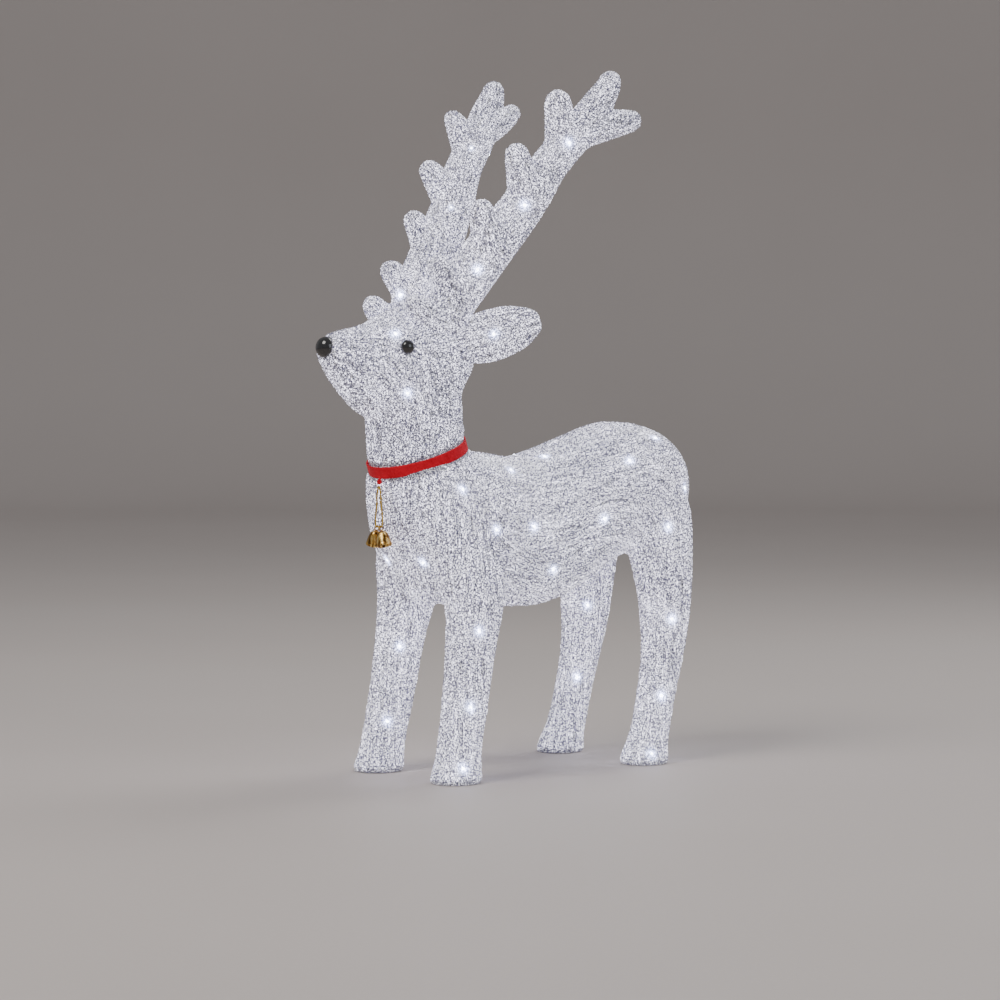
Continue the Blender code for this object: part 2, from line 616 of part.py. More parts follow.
for side, word in ((1, "left"), (-1, "right")):
    # the bell's own frame: origin at the middle of its crown, leaning outwards
    ring_middle = Vector((side * HANG_X, PIVOT.y, LOOP_LOW - (RING_R - RING_WIRE - 0.55 - 0.25)))
    lean = Matrix.Rotation(-side * BELL_LEAN, 4, "Y")
    frame = Matrix.Translation(ring_middle * MM) @ lean @ Matrix.Translation(Vector((0, 0, -RING_R - 0.35)) * MM)
    bell = turned(f"bell_{word}", bell_profile(), 16, "brass")
    bell.matrix_world = frame
    crown_ring = ring(f"bell_ring_{word}", frame, (0, 0, RING_R + 0.35), RING_R, RING_WIRE, 14, 6, (1, 0, 0))
    staple = ring(f"bell_staple_{word}", frame, (0, 0, -2.4), 1.5, 0.4, 10, 5, (0, 1, 0))
    boolean(bell, crown_ring, "UNION")
    boolean(bell, staple, "UNION")

    clapper_bm = bmesh.new()
    bmesh.ops.create_uvsphere(clapper_bm, u_segments=10, v_segments=6, radius=1.9 * MM, matrix=Matrix.Translation((0, 0, -10.6 * MM)))
    clapper = add(f"clapper_{word}", mesh_of(f"clapper_{word}", clapper_bm), "iron")
    clapper.matrix_world = frame
    stalk = rod(f"clapper_stalk_{word}", (0, 0, -5.2), (0, 0, -10.2), 0.45, 8)
    stalk.matrix_world = frame
    clapper_ring = ring(f"clapper_ring_{word}", frame, (0, 0, -4.1), 1.3, 0.35, 10, 5, (1, 0, 0))
    boolean(clapper, stalk, "UNION")
    boolean(clapper, clapper_ring, "UNION")

# ---- battery tray ---------------------------------------------------------------------

before_tray = set(bpy.data.objects)

tray = box("battery_tray", (-TRAY_X, TRAY_Y0, TRAY_Z0), (TRAY_X, TRAY_Y1, TRAY_Z1), "white_plastic")
bay = box("battery_bay", (-BAY_X, BAY_Y0, TRAY_Z0 - 5), (BAY_X, BAY_Y1, TRAY_Z1 - TRAY_WALL))
recess = box("door_recess", (-BAY_X - 1.6, TRAY_Y0 - 5, TRAY_Z0 - 5), (BAY_X + 1.6, BAY_Y1 + 3.2, TRAY_Z0 + DOOR_THICK + GAP))
knuckle_room = rod("knuckle_room", (-BAY_X - 1.6, HINGE_Y, HINGE_Z), (BAY_X + 1.6, HINGE_Y, HINGE_Z), 2.2, 20)
pin_bore = rod("pin_bore", (-TRAY_X - 1, HINGE_Y, HINGE_Z), (TRAY_X + 1, HINGE_Y, HINGE_Z), 1.05, 14)
screw_bore = rod("screw_bore", (0, BAY_Y1 + 0.7, TRAY_Z0 - 1), (0, BAY_Y1 + 0.7, TRAY_Z0 + 9), 1.9, 16)
button_bore = rod("button_bore", (0, BUTTON_Y, TRAY_Z0 - 1), (0, BUTTON_Y, TRAY_Z0 + 3), BUTTON_R + GAP, 24)
button_room = box("button_room", (-13, BUTTON_Y - 4.5, TRAY_Z0 + 2), (13, TRAY_Y1 - TRAY_WALL, TRAY_Z1 - TRAY_WALL))
wire_slots = [
    box(f"wire_slot_{word}", (x - 2.5, TRAY_Y1 - 4, TRAY_Z1 - 8.5), (x + 2.5, TRAY_Y1 + 4, TRAY_Z1 - 4))
    for word, x in (("left", 9.5), ("right", -9.5))
]
for cutter in (bay, recess, knuckle_room, pin_bore, screw_bore, button_bore, button_room, *wire_slots):
    boolean(tray, cutter)

door = box("battery_door", (-BAY_X - 1.2, BAY_Y0 - 0.2, TRAY_Z0), (BAY_X + 1.2, BAY_Y1 + 2.8, TRAY_Z0 + DOOR_THICK), "white_plastic")
knuckle = rod("door_knuckle", (-BAY_X - 1.2, HINGE_Y, HINGE_Z), (BAY_X + 1.2, HINGE_Y, HINGE_Z), 1.9, 18)
web = box("door_web", (-BAY_X - 1.1, HINGE_Y, TRAY_Z0 + 0.3), (BAY_X + 1.1, BAY_Y0 + 0.4, TRAY_Z0 + DOOR_THICK - 0.1))
door_bore = rod("door_bore", (-BAY_X - 3, HINGE_Y, HINGE_Z), (BAY_X + 3, HINGE_Y, HINGE_Z), 1.0, 14)
door_screw_hole = rod("door_screw_hole", (0, BAY_Y1 + 0.4, TRAY_Z0 - 1), (0, BAY_Y1 + 0.4, TRAY_Z0 + 5), 1.75, 16)
door_screw_sink = rod("door_screw_sink", (0, BAY_Y1 + 0.4, TRAY_Z0 - 1), (0, BAY_Y1 + 0.4, TRAY_Z0 + 1.1), 2.3, 20)
boolean(door, knuckle, "UNION")
boolean(door, web, "UNION")
for cutter in (door_bore, door_screw_hole, door_screw_sink):
    boolean(door, cutter)

hinge_pin = rod("hinge_pin", (-TRAY_X + 0.6, HINGE_Y, HINGE_Z), (TRAY_X - 0.6, HINGE_Y, HINGE_Z), 0.65, 14, "steel")

screw = rod("door_screw", (0, BAY_Y1 + 0.4, TRAY_Z0 + 0.6), (0, BAY_Y1 + 0.4, TRAY_Z0 + 5.6), 1.3, 14, "steel")
screw_head = rod("screw_head", (0, BAY_Y1 + 0.4, TRAY_Z0 + 0.05), (0, BAY_Y1 + 0.4, TRAY_Z0 + 0.8), 2.0, 18)
cross_a = box("screw_cross_a", (-1.4, BAY_Y1 + 0.1, TRAY_Z0 - 1), (1.4, BAY_Y1 + 0.7, TRAY_Z0 + 0.45))
cross_b = box("screw_cross_b", (-0.3, BAY_Y1 - 1.0, TRAY_Z0 - 1), (0.3, BAY_Y1 + 1.8, TRAY_Z0 + 0.45))
boolean(screw, screw_head, "UNION")
boolean(screw, cross_a)
boolean(screw, cross_b)

CELL_Z = TRAY_Z0 + DOOR_THICK + 0.8 + CELL_R + 1.2
BAY_MIDDLE = (BAY_Y0 + BAY_Y1) / 2
for k in range(3):
    y = BAY_MIDDLE + (k - 1) * CELL_PITCH
    flip = 1 if k % 2 == 0 else -1
    # can, shoulder and positive cap of one AA cell
    turned(
        f"cell_{k + 1}",
        [(0, 0), (CELL_R - 0.5, 0), (CELL_R, 0.5), (CELL_R, CELL_LENGTH - 2.2), (CELL_R - 0.7, CELL_LENGTH - 1.5), (2.7, CELL_LENGTH - 1.5), (2.7, CELL_LENGTH), (0, CELL_LENGTH)],
        20, "cell", at=(-flip * (CELL_LENGTH / 2 - 1.6), y, CELL_Z), turn=Matrix.Rotation(math.radians(90 * flip), 4, "Y"),
    )
    # contact spring behind the flat end of the cell
    coil = []
    for step in range(26):
        share = step / 25
        a = 2 * math.pi * 2.5 * share
        reach = 4.6 - 2.0 * share
        x = -flip * (BAY_X - 0.9 - 2.7 * share)
        coil.append((x, y + reach * math.cos(a), CELL_Z + reach * math.sin(a)))
    curve(f"contact_spring_{k + 1}", [coil], 0.38, "steel", sides=0)

rod("push_button", (0, BUTTON_Y, TRAY_Z0 - 0.9), (0, BUTTON_Y, TRAY_Z0 + 5.2), BUTTON_R, 24, "rubber")
board = box("timer_board", (-12.2, BUTTON_Y - 2.2, TRAY_Z0 + 8.6), (12.2, TRAY_Y1 - TRAY_WALL - 0.4, TRAY_Z0 + 10.2), "board")
tact = box("tact_switch", (-3, BUTTON_Y - 1.6, TRAY_Z0 + 6.9), (3, BUTTON_Y + 3.2, TRAY_Z0 + 8.8))
boolean(board, tact, "UNION")

for obj in set(bpy.data.objects) - before_tray:
    obj.matrix_world = LEAN @ obj.matrix_world


def leaned(x, y, z):
    """A point of the tray, in mm, where the lean puts it."""
    return tuple(LEAN @ (Vector((x, y, z)) * MM) / MM)


# ---- lights --------------------------------------------------------------------------------


def with_bulbs(stops):
    """Points of a wire through (x, y, z, lit) stops; a lit stop swells into a bulb."""
    rows = []
    for k, (x, y, z, lit) in enumerate(stops):
        here = Vector((x, y, z))
        if not lit:
            rows.append((x, y, z, 1.0))
            continue
        before = Vector(stops[max(k - 1, 0)][:3])
        after = Vector(stops[min(k + 1, len(stops) - 1)][:3])
        ahead = (after - before).normalized()
        swell = BULB_R / WIRE_R
        for step, size in ((-3.6, 1.0), (-2.4, swell), (2.0, swell), (3.6, 1.0)):
            p = here + ahead * step
            rows.append((p.x, p.y, p.z, size))
    return rows


def leg_stops(table, shift, lights):
    """Down the leg with the lights, and back up beside it."""
    rows = smooth_rows([row[:3] for row in table], 4)
    z = np.array([row[0] for row in rows])
    x = np.array([row[1] for row in rows])
    y = np.array([row[2] for row in rows])
    stops = []
    low = min(lights) - 4.0
    heights = sorted({165.0, 152.0, 96.0, 32.0, *lights}, reverse=True)
    for height in heights:
        if height < low or (height not in lights and min(abs(height - lit) for lit in lights) < 8):
            continue
        stops.append((float(np.interp(height, z, x)) + shift, float(np.interp(height, z, y)), height, height in lights))
    for height in (low, 96.0, 165.0):
        stops.append((float(np.interp(height, z, x)) - shift - 1.5, float(np.interp(height, z, y)) + (3.0 if height == low else 0.0), height, False))
    return stops


for side, word in ((1, "left"), (-1, "right")):
    front, rear = leg_stops(FRONT_LEG, 4.5, FRONT_LIGHTS[side]), leg_stops(REAR_LEG, 4.5, REAR_LIGHTS[side])
    stops = [(*leaned(9.5, BUTTON_Y + 3.0, TRAY_Z1 - 6.2), 0), (*leaned(9.5, TRAY_Y1 + 3.0, TRAY_Z1 - 6.2), 0), (*leaned(38, TRAY_Y1 + 2, TRAY_Z1 + 4), 0)]
    stops += [(*p, 1) for p in FLANK_LIGHTS]
    stops += front
    stops += [(*p, 1) for p in CHEST_LIGHTS]
    stops += [(*p, 1) for p in BACK_LIGHTS]
    stops += rear[:-3]
    curve(f"body_light_string_{word}", [with_bulbs([(side * x, y, z, lit) for x, y, z, lit in stops])], WIRE_R, "light", sides=0)

    stem = [tuple(row[:3]) for row in STEM]
    ear_lit = Vector(EAR_ROOT).lerp(Vector(EAR_TIP), EAR_LIGHT)
    ear_in = Vector(EAR_ROOT).lerp(Vector(EAR_TIP), -0.15)
    stops = [(8, -104, 262, 0), (14, -106, 300, 0)]
    stops += [(*p, 1) for p in CHEEK_LIGHTS]
    stops += [(12, -112, 370, 0), (ear_in.x, ear_in.y, ear_in.z, 0), (ear_lit.x, ear_lit.y, ear_lit.z, 1)]
    head_rows = with_bulbs([(side * x, y, z, lit) for x, y, z, lit in stops])
    curve(f"head_light_string_{word}", [head_rows], WIRE_R, "light", sides=0)
    low, middle, high = ANTLER_LIGHTS
    stops = [(16.5, -100, 378, 0), (*stem[1], 0), (*low, 1), (*stem[3], 0), (*middle, 1), (*stem[5], 0), (*high, 1), (*stem[6], 0)]
    curve(f"antler_light_string_{word}", [with_bulbs([(side * x, y, z, lit) for x, y, z, lit in stops])], WIRE_R, "light", sides=0)

# ---- place it on the origin -------------------------------------------------------------------

for obj in bpy.data.objects:
    if obj.parent is None:
        obj.location.y += SHIFT_Y * MM
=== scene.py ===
"""Light-up yard reindeer of fused clear acrylic thread, lit from inside.

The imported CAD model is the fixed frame. The skins are laid again here as an inner
skin with real threads melted on top of it, running the way they are wound on the
object: down the legs and the neck, along the flanks, over the rump and along each
antler and ear. Lengths in the tables are millimetres, from the middle of the feet.
"""

import math

import bmesh
import bpy
import numpy as np
from mathutils import Matrix, Vector
from mathutils.bvhtree import BVHTree


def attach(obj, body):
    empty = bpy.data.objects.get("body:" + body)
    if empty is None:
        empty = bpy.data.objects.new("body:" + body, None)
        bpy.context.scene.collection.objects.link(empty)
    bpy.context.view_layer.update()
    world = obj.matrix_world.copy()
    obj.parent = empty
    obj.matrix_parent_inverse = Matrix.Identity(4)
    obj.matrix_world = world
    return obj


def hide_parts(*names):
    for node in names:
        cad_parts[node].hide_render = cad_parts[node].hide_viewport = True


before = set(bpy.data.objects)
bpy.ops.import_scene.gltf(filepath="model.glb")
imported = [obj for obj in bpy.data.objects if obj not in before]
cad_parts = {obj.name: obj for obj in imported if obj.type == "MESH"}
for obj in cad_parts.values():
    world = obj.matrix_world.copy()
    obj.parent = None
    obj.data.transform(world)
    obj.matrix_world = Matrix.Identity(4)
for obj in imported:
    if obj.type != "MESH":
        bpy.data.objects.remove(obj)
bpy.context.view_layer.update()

MM = 0.001
SHIFT = Vector((0.0, 21.3, 0.0))       # from the middle of the feet to the row frame, mm
rng = np.random.default_rng(20)

scene = bpy.context.scene

# ---- camera ---------------------------------------------------------------------------

AZIMUTH = math.radians(50.0)
BACK = Vector((math.sin(AZIMUTH), -math.cos(AZIMUTH), 0.0))
SIDEWAYS = Vector((math.cos(AZIMUTH), math.sin(AZIMUTH), 0.0))
axis_point = Vector((0.0, SHIFT.y * MM, 0.0))
eye_at = axis_point + BACK * 3.0 + Vector((0, 0, 0.3856))
look_at = axis_point - SIDEWAYS * 0.0087 + Vector((0, 0, 0.2388))
camera_data = bpy.data.cameras.new("camera")
camera_data.lens = 121.35
camera_data.sensor_width = 36.0
camera_data.clip_end = 30.0
camera = bpy.data.objects.new("camera", camera_data)
scene.collection.objects.link(camera)
camera.location = eye_at
camera.rotation_euler = (look_at - eye_at).to_track_quat("-Z", "Y").to_euler()
scene.camera = camera

# ---- tables, mm -------------------------------------------------------------------------

COLLAR_CENTRE = Vector((0.0, -105.3, 280.5))
COLLAR_PITCH = math.radians(18.3)
COLLAR_TURN = Matrix.Rotation(COLLAR_PITCH, 4, "X")
COLLAR_NORMAL = COLLAR_TURN.to_3x3() @ Vector((0, 0, 1))
COLLAR_WIDTH = 10.0
NECK_R = 43.2

TORSO = (
    (-112, 188, 262, 40), (-95, 163, 276, 55), (-65, 149, 283, 61), (-30, 144.5, 280, 61),
    (0, 144.5, 276, 60), (30, 151.5, 281.5, 61), (60, 164, 289.5, 64), (90, 178, 298, 68),
    (115, 188, 305, 70), (136, 195, 304, 69), (156, 202, 297, 62), (172.5, 214, 284, 47),
)
NECK = (
    (154, -79, 20, 44), (166, -79.5, 28, 53), (186, -80, 38.5, 60), (206, -81.5, 48, 62),
    (226, -86, 50.5, 60), (246, -91, 49.5, 56), (263, -98, 45.5, 49),
)
THROAT = (
    (280.5, -105.3, NECK_R, 18.3), (300, -108.0, 41.6, 10), (322, -109.5, 41.3, 3), (348, -111.0, 41.0, 0),
)
HEAD = (
    (-206, 361, 382, 11), (-198.5, 353, 386.5, 16), (-189, 341, 389, 20.5), (-177, 329, 391, 25),
    (-163, 318, 394, 30), (-148, 312, 400, 35), (-130, 308, 407, 39), (-110, 310, 411, 41.5),
    (-90, 318, 408, 41), (-75, 333, 397, 37), (-64, 350, 380, 27),
)
FRONT_LEG = (
    (-12, 55.2, -108, 20.5, 22), (4, 54.6, -106, 20.5, 22), (14, 54, -104, 18.5, 19.5), (32, 53, -101, 17.6, 18.4),
    (66, 51.5, -94, 18.2, 19.4), (109, 49.8, -87, 19.4, 20.8), (142, 48.3, -81, 21.5, 24),
    (166, 45.5, -79.5, 23, 28.5), (190, 42, -79.5, 23.5, 32), (222, 38, -83, 18, 29), (244, 34, -86, 10, 18),
)
REAR_LEG = (
    (-12, 58.4, 107.5, 20, 21.5), (4, 58, 109.5, 20, 21.5), (14, 57.6, 112, 18, 18.6), (32, 57, 118, 16.2, 16.8),
    (62, 56.3, 125.5, 15.8, 16.6), (96, 55.5, 133.5, 17.2, 18.6), (130, 54.5, 137.5, 20.5, 21.5),
    (165, 52.5, 137.5, 23.5, 25.5), (203, 49, 135, 27, 30.5), (238, 46, 131, 26, 32), (264, 41, 122, 16, 20),
)
STEM = (
    (21, -95, 388, 19.5), (25, -88, 412, 20.3), (33.5, -66, 445, 20.6), (43, -40, 479, 19.3), (53, -19.5, 509, 17.4),
    (60, -4, 535, 15.6), (70, 22, 566, 14.8), (75.5, 35.5, 586, 13.4), (78.8, 44, 599, 11), (80, 47.5, 607.5, 9.4),
)
LEFT_TINES = (
    ((70, 20, 562, 14), (77, 49, 570, 12.5), (81, 71, 574, 9.4)),
    ((64, 6, 554, 14.5), (68.5, 0, 573, 13), (71, -5, 587, 11.2)),
    ((54, -24, 502, 16), (57.5, -35, 525, 13), (59.5, -42, 541.5, 9.8)),
    ((43, -58, 458, 16), (46.5, -67, 478, 12.5), (49.5, -73, 493, 9.6)),
    ((28, -84, 416, 16), (32, -98, 433, 12.8), (35, -109, 444.5, 9.8)),
    ((25, -104, 396, 15), (28, -119, 403, 12), (29.5, -130, 410.5, 9.6)),
)
RIGHT_TINES = (
    ((70, 20, 566, 13.6), (77, 50, 578, 11.2), (81, 70, 588.5, 8.2)),
    ((68, 8, 553, 14), (70.5, 1, 568, 11.5), (72, -6, 579.5, 8.2)),
    ((55, -20, 500, 15.5), (57, -33, 519, 13), (58.5, -44, 531.5, 9.6)),
    ((42, -55, 452, 16), (46, -61, 473, 13), (49, -69, 486, 9.6)),
    ((28, -84, 414, 15.5), (32, -97, 431, 12.5), (35, -106, 441, 9.8)),
    ((25, -104, 395, 15), (28, -120, 401.5, 12), (29.5, -130, 410.5, 9.4)),
)
EAR_ROOT = Vector((33.0, -88.0, 376.0))
EAR_TIP = Vector((86.0, -36.0, 399.0))
EAR = ((0.0, 14, 6.5), (0.18, 19.5, 7.5), (0.36, 22, 7.5), (0.56, 21.3, 7), (0.75, 17.8, 6.2), (0.89, 12.2, 5), (0.97, 6.3, 3))

EYE_R = 6.4
NOSE_R = 9.3
FORWARD = Vector((0, -1.0, 0.15)).normalized()
NOSE_MIDDLE = Vector((0, -204.7, 375.2))
TRAY = (33.3, -43.3, 23.9)             # half width and both ends of the opening for the battery tray
TRAY_AT, TRAY_PITCH = Vector((0, -43.0, 148.2)), math.radians(4.8)

FLANK_LIGHTS = ((46, 0, 182), (53, -24, 218), (51, -66, 217))
CHEST_LIGHTS = ((23, -108.5, 195), (41, -97, 248), (32, -34, 258))
BACK_LIGHTS = ((17, 26, 264), (52, 57, 223), (48, 94, 266), (33, 128, 270), (45, 143, 246), (58, 128, 213))
CHEEK_LIGHTS = ((24.5, -140, 339), (18.5, -146, 381))
FRONT_LIGHTS = {1: (131.0, 66.0, 14.0), -1: (111.0, 45.0)}
REAR_LIGHTS = {1: (130.0, 61.0, 10.0), -1: (136.0, 69.0)}
ANTLER_LIGHTS = ((32.0, -68, 440), (48.5, -28, 496), (65.5, 9, 551))
EAR_LIGHT = 0.45

# ---- small helpers ----------------------------------------------------------------------


def mesh_from(name, vertices, faces, smooth=True):
    """A mesh of the row frame from (n, 3) mm points and (m, 3) or (m, 4) faces."""
    mesh = bpy.data.meshes.new(name)
    vertices = np.asarray(vertices, float) * MM + np.array(SHIFT) * MM
    faces = np.asarray(faces, np.int32)
    sides = faces.shape[1]
    mesh.vertices.add(len(vertices))
    mesh.vertices.foreach_set("co", vertices.astype(np.float32).ravel())
    mesh.loops.add(faces.size)
    mesh.loops.foreach_set("vertex_index", faces.ravel())
    mesh.polygons.add(len(faces))
    mesh.polygons.foreach_set("loop_start", np.arange(0, faces.size, sides, dtype=np.int32))
    mesh.update(calc_edges=True)
    mesh.validate()
    mesh.polygons.foreach_set("use_smooth", [smooth] * len(mesh.polygons))
    return mesh


def put(name, mesh, material, body="reindeer"):
    obj = bpy.data.objects.new(name, mesh)
    scene.collection.objects.link(obj)
    if not mesh.materials:
        mesh.materials.append(material)
    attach(obj, body)
    return obj


def from_bmesh(name, bm, smooth=True, place=True):
    """bm is in mm; the mesh is in the row frame, metres."""
    if place:
        bmesh.ops.transform(bm, matrix=Matrix.Scale(MM, 4) @ Matrix.Translation(SHIFT), verts=bm.verts)
    bmesh.ops.recalc_face_normals(bm, faces=bm.faces)
    mesh = bpy.data.meshes.new(name)
    bm.to_mesh(mesh)
    bm.free()
    for polygon in mesh.polygons:
        polygon.use_smooth = smooth
    return mesh


def oval(count, power):
    points = []
    for k in range(count):
        t = 2 * math.pi * (k + 0.5) / count
        c, s = math.cos(t), math.sin(t)
        points.append((math.copysign(abs(c) ** (2 / power), c), math.copysign(abs(s) ** (2 / power), s)))
    return points


def skin_rings(bm, rings):
    loops = [[bm.verts.new(p) for p in ring] for ring in rings]
    for first, second in zip(loops, loops[1:]):
        for k in range(len(first)):
            n = (k + 1) % len(first)
            bm.faces.new((first[k], first[n], second[n], second[k]))
    bm.faces.new(loops[0][::-1])
    bm.faces.new(loops[-1])


def smooth_rows(rows, between):
    rows = [np.array(row, float) for row in rows]
    out = []
    for k in range(len(rows) - 1):
        p0, p1, p2, p3 = rows[max(k - 1, 0)], rows[k], rows[k + 1], rows[min(k + 2, len(rows) - 1)]
        for step in range(between):
            t = step / between
            out.append(
                0.5 * (2 * p1 + (p2 - p0) * t + (2 * p0 - 5 * p1 + 4 * p2 - p3) * t * t + (3 * p1 - p0 - 3 * p2 + p3) * t ** 3)
            )
    out.append(rows[-1])
    return out


def flat_bottom(count, power, low_power):
    """An oval whose lower half is squarer."""
    return [low if low[1] < 0 else high for low, high in zip(oval(count, low_power), oval(count, power))]


def along_y(bm, table, power, belly=0.0):
    rings = []
    for y, low, high, half in smooth_rows(table, 4):
        here = power + belly * max(0.0, min(1.0, (y + 95) / 35, (75 - y) / 35))
        rings.append([Vector((a * half, y, (low + high) / 2 + b * (high - low) / 2)) for a, b in flat_bottom(48, power, here)])
    skin_rings(bm, rings)


def leg(bm, table, side):
    rings = []
    for z, x, y, half_x, half_y in smooth_rows(table, 4):
        rings.append([Vector((side * (x + a * half_x), y + b * half_y, z)) for a, b in oval(32, 2.1)])
    skin_rings(bm, rings)


def neck(bm):
    rings = []
    for z, y, depth, half in smooth_rows(NECK, 4)[:-1]:
        rings.append([Vector((a * half, y + b * depth, z)) for a, b in oval(48, 2.35)])
    for z, y, radius, pitch in smooth_rows(THROAT, 4):
        lean = math.radians(pitch)
        rings.append([Vector((a * radius, y + b * radius * math.cos(lean), z + b * radius * math.sin(lean))) for a, b in oval(48, 2.0)])
    skin_rings(bm, rings)


def tube(bm, points, count=20):
    rows = smooth_rows(points, 4)
    centres = [Vector(row[:3]) for row in rows]
    radii = [row[3] for row in rows]
    rings, side = [], None
    for k, (centre, radius) in enumerate(zip(centres, radii)):
        ahead = (centres[min(k + 1, len(centres) - 1)] - centres[max(k - 1, 0)]).normalized()
        side = side or ahead.orthogonal().normalized()
        side = (side - ahead * side.dot(ahead)).normalized()
        other = ahead.cross(side)
        turn = [2 * math.pi * j / count for j in range(count)]
        rings.append([centre + (side * math.cos(t) + other * math.sin(t)) * radius for t in turn])
        if k == len(centres) - 1:
            for lat in (20, 38, 55, 70, 82):
                a = math.radians(lat)
                rings.append([centre + ahead * radius * math.sin(a) + (side * math.cos(t) + other * math.sin(t)) * radius * math.cos(a) for t in turn])
    skin_rings(bm, rings)


def fused(name, fill, voxel, smooth):
    """Overlapping closed lofts, fused into one skin. Returns its mesh in mm, with its modifiers applied."""
    bm = bmesh.new()
    fill(bm)
    bmesh.ops.recalc_face_normals(bm, faces=bm.faces)
    mesh = bpy.data.meshes.new(name)
    bm.to_mesh(mesh)
    bm.free()
    obj = bpy.data.objects.new(name, mesh)
    scene.collection.objects.link(obj)
    remesh = obj.modifiers.new("fuse", "REMESH")
    remesh.mode = "VOXEL"
    remesh.voxel_size = voxel
    ease = obj.modifiers.new("ease", "SMOOTH")
    ease.factor = 0.5
    ease.iterations = smooth
    bpy.context.view_layer.update()
    made = bpy.data.meshes.new_from_object(obj.evaluated_get(bpy.context.evaluated_depsgraph_get()))
    bpy.data.objects.remove(obj)
    return made


# ---- materials --------------------------------------------------------------------------


class Nodes:
    """A short hand for building one material's nodes."""

    def __init__(self, name):
        self.material = bpy.data.materials.new(name)
        self.material.use_nodes = True
        self.tree = self.material.node_tree
        self.shader = self.tree.nodes["Principled BSDF"]
        self.place = self.new("ShaderNodeTexCoord").outputs["Object"]

    def new(self, kind, **values):
        node = self.tree.nodes.new(kind)
        for key, value in values.items():
            setattr(node, key, value)
        return node

    def link(self, output, node, socket):
        self.tree.links.new(output, node.inputs[socket])

    def noise(self, scale, detail=2.0, roughness=0.55, distortion=0.0, place=None):
        node = self.new("ShaderNodeTexNoise")
        self.link(place or self.place, node, "Vector")
        node.inputs["Scale"].default_value = scale
        node.inputs["Detail"].default_value = detail
        node.inputs["Roughness"].default_value = roughness
        node.inputs["Distortion"].default_value = distortion
        return node.outputs["Fac"]

    def cells(self, scale, output="Color"):
        node = self.new("ShaderNodeTexVoronoi")
        self.link(self.place, node, "Vector")
        node.inputs["Scale"].default_value = scale
        return node.outputs[output]

    def attribute(self, name):
        return self.new("ShaderNodeAttribute", attribute_name=name).outputs["Fac"]

    def ramp(self, value, *stops):
        node = self.new("ShaderNodeValToRGB")
        self.link(value, node, "Fac")
        elements = node.color_ramp.elements
        while len(elements) > 1:
            elements.remove(elements[-1])
        for k, (position, colour) in enumerate(stops):
            element = elements[0] if k == 0 else elements.new(position)
            element.position = position
            element.color = (*colour, 1.0) if len(colour) == 3 else colour
        return node.outputs["Color"]

    def span(self, value, low, high, new_low, new_high):
        node = self.new("ShaderNodeMapRange")
        self.link(value, node, "Value")
        for key, number in (("From Min", low), ("From Max", high), ("To Min", new_low), ("To Max", new_high)):
            node.inputs[key].default_value = number
        return node.outputs["Result"]

    def maths(self, operation, a, b=None):
        node = self.new("ShaderNodeMath", operation=operation)
        for k, value in enumerate((a, b)):
            if value is None:
                continue
            if isinstance(value, (int, float)):
                node.inputs[k].default_value = value
            else:
                self.tree.links.new(value, node.inputs[k])
        return node.outputs["Value"]

    def mix(self, share, a, b, how="MIX"):
        node = self.new("ShaderNodeMix", data_type="RGBA", blend_type=how)
        for value, socket in ((share, node.inputs[0]), (a, node.inputs[6]), (b, node.inputs[7])):
            if isinstance(value, (int, float)):
                socket.default_value = value
            elif isinstance(value, tuple):
                socket.default_value = (*value, 1.0)
            else:
                self.tree.links.new(value, socket)
        return node.outputs[2]

    def bump(self, height, strength, distance):
        node = self.new("ShaderNodeBump")
        node.inputs["Strength"].default_value = strength
        node.inputs["Distance"].default_value = distance
        self.link(height, node, "Height")
        self.link(node.outputs["Normal"], self.shader, "Normal")

    def set(self, **values):
        names = {"colour": "Base Color", "roughness": "Roughness", "metallic": "Metallic", "coat": "Coat Weight", "coat_roughness": "Coat Roughness",
                 "specular": "Specular IOR Level", "sheen": "Sheen Weight", "sheen_roughness": "Sheen Roughness", "sheen_tint": "Sheen Tint",
                 "emission": "Emission Color", "strength": "Emission Strength", "transmission": "Transmission Weight", "ior": "IOR"}
        for key, value in values.items():
            socket = self.shader.inputs[names[key]]
            if isinstance(value, (int, float)):
                socket.default_value = value
            elif isinstance(value, tuple):
                socket.default_value = (*value, 1.0)
            else:
                self.tree.links.new(value, socket)
        return self


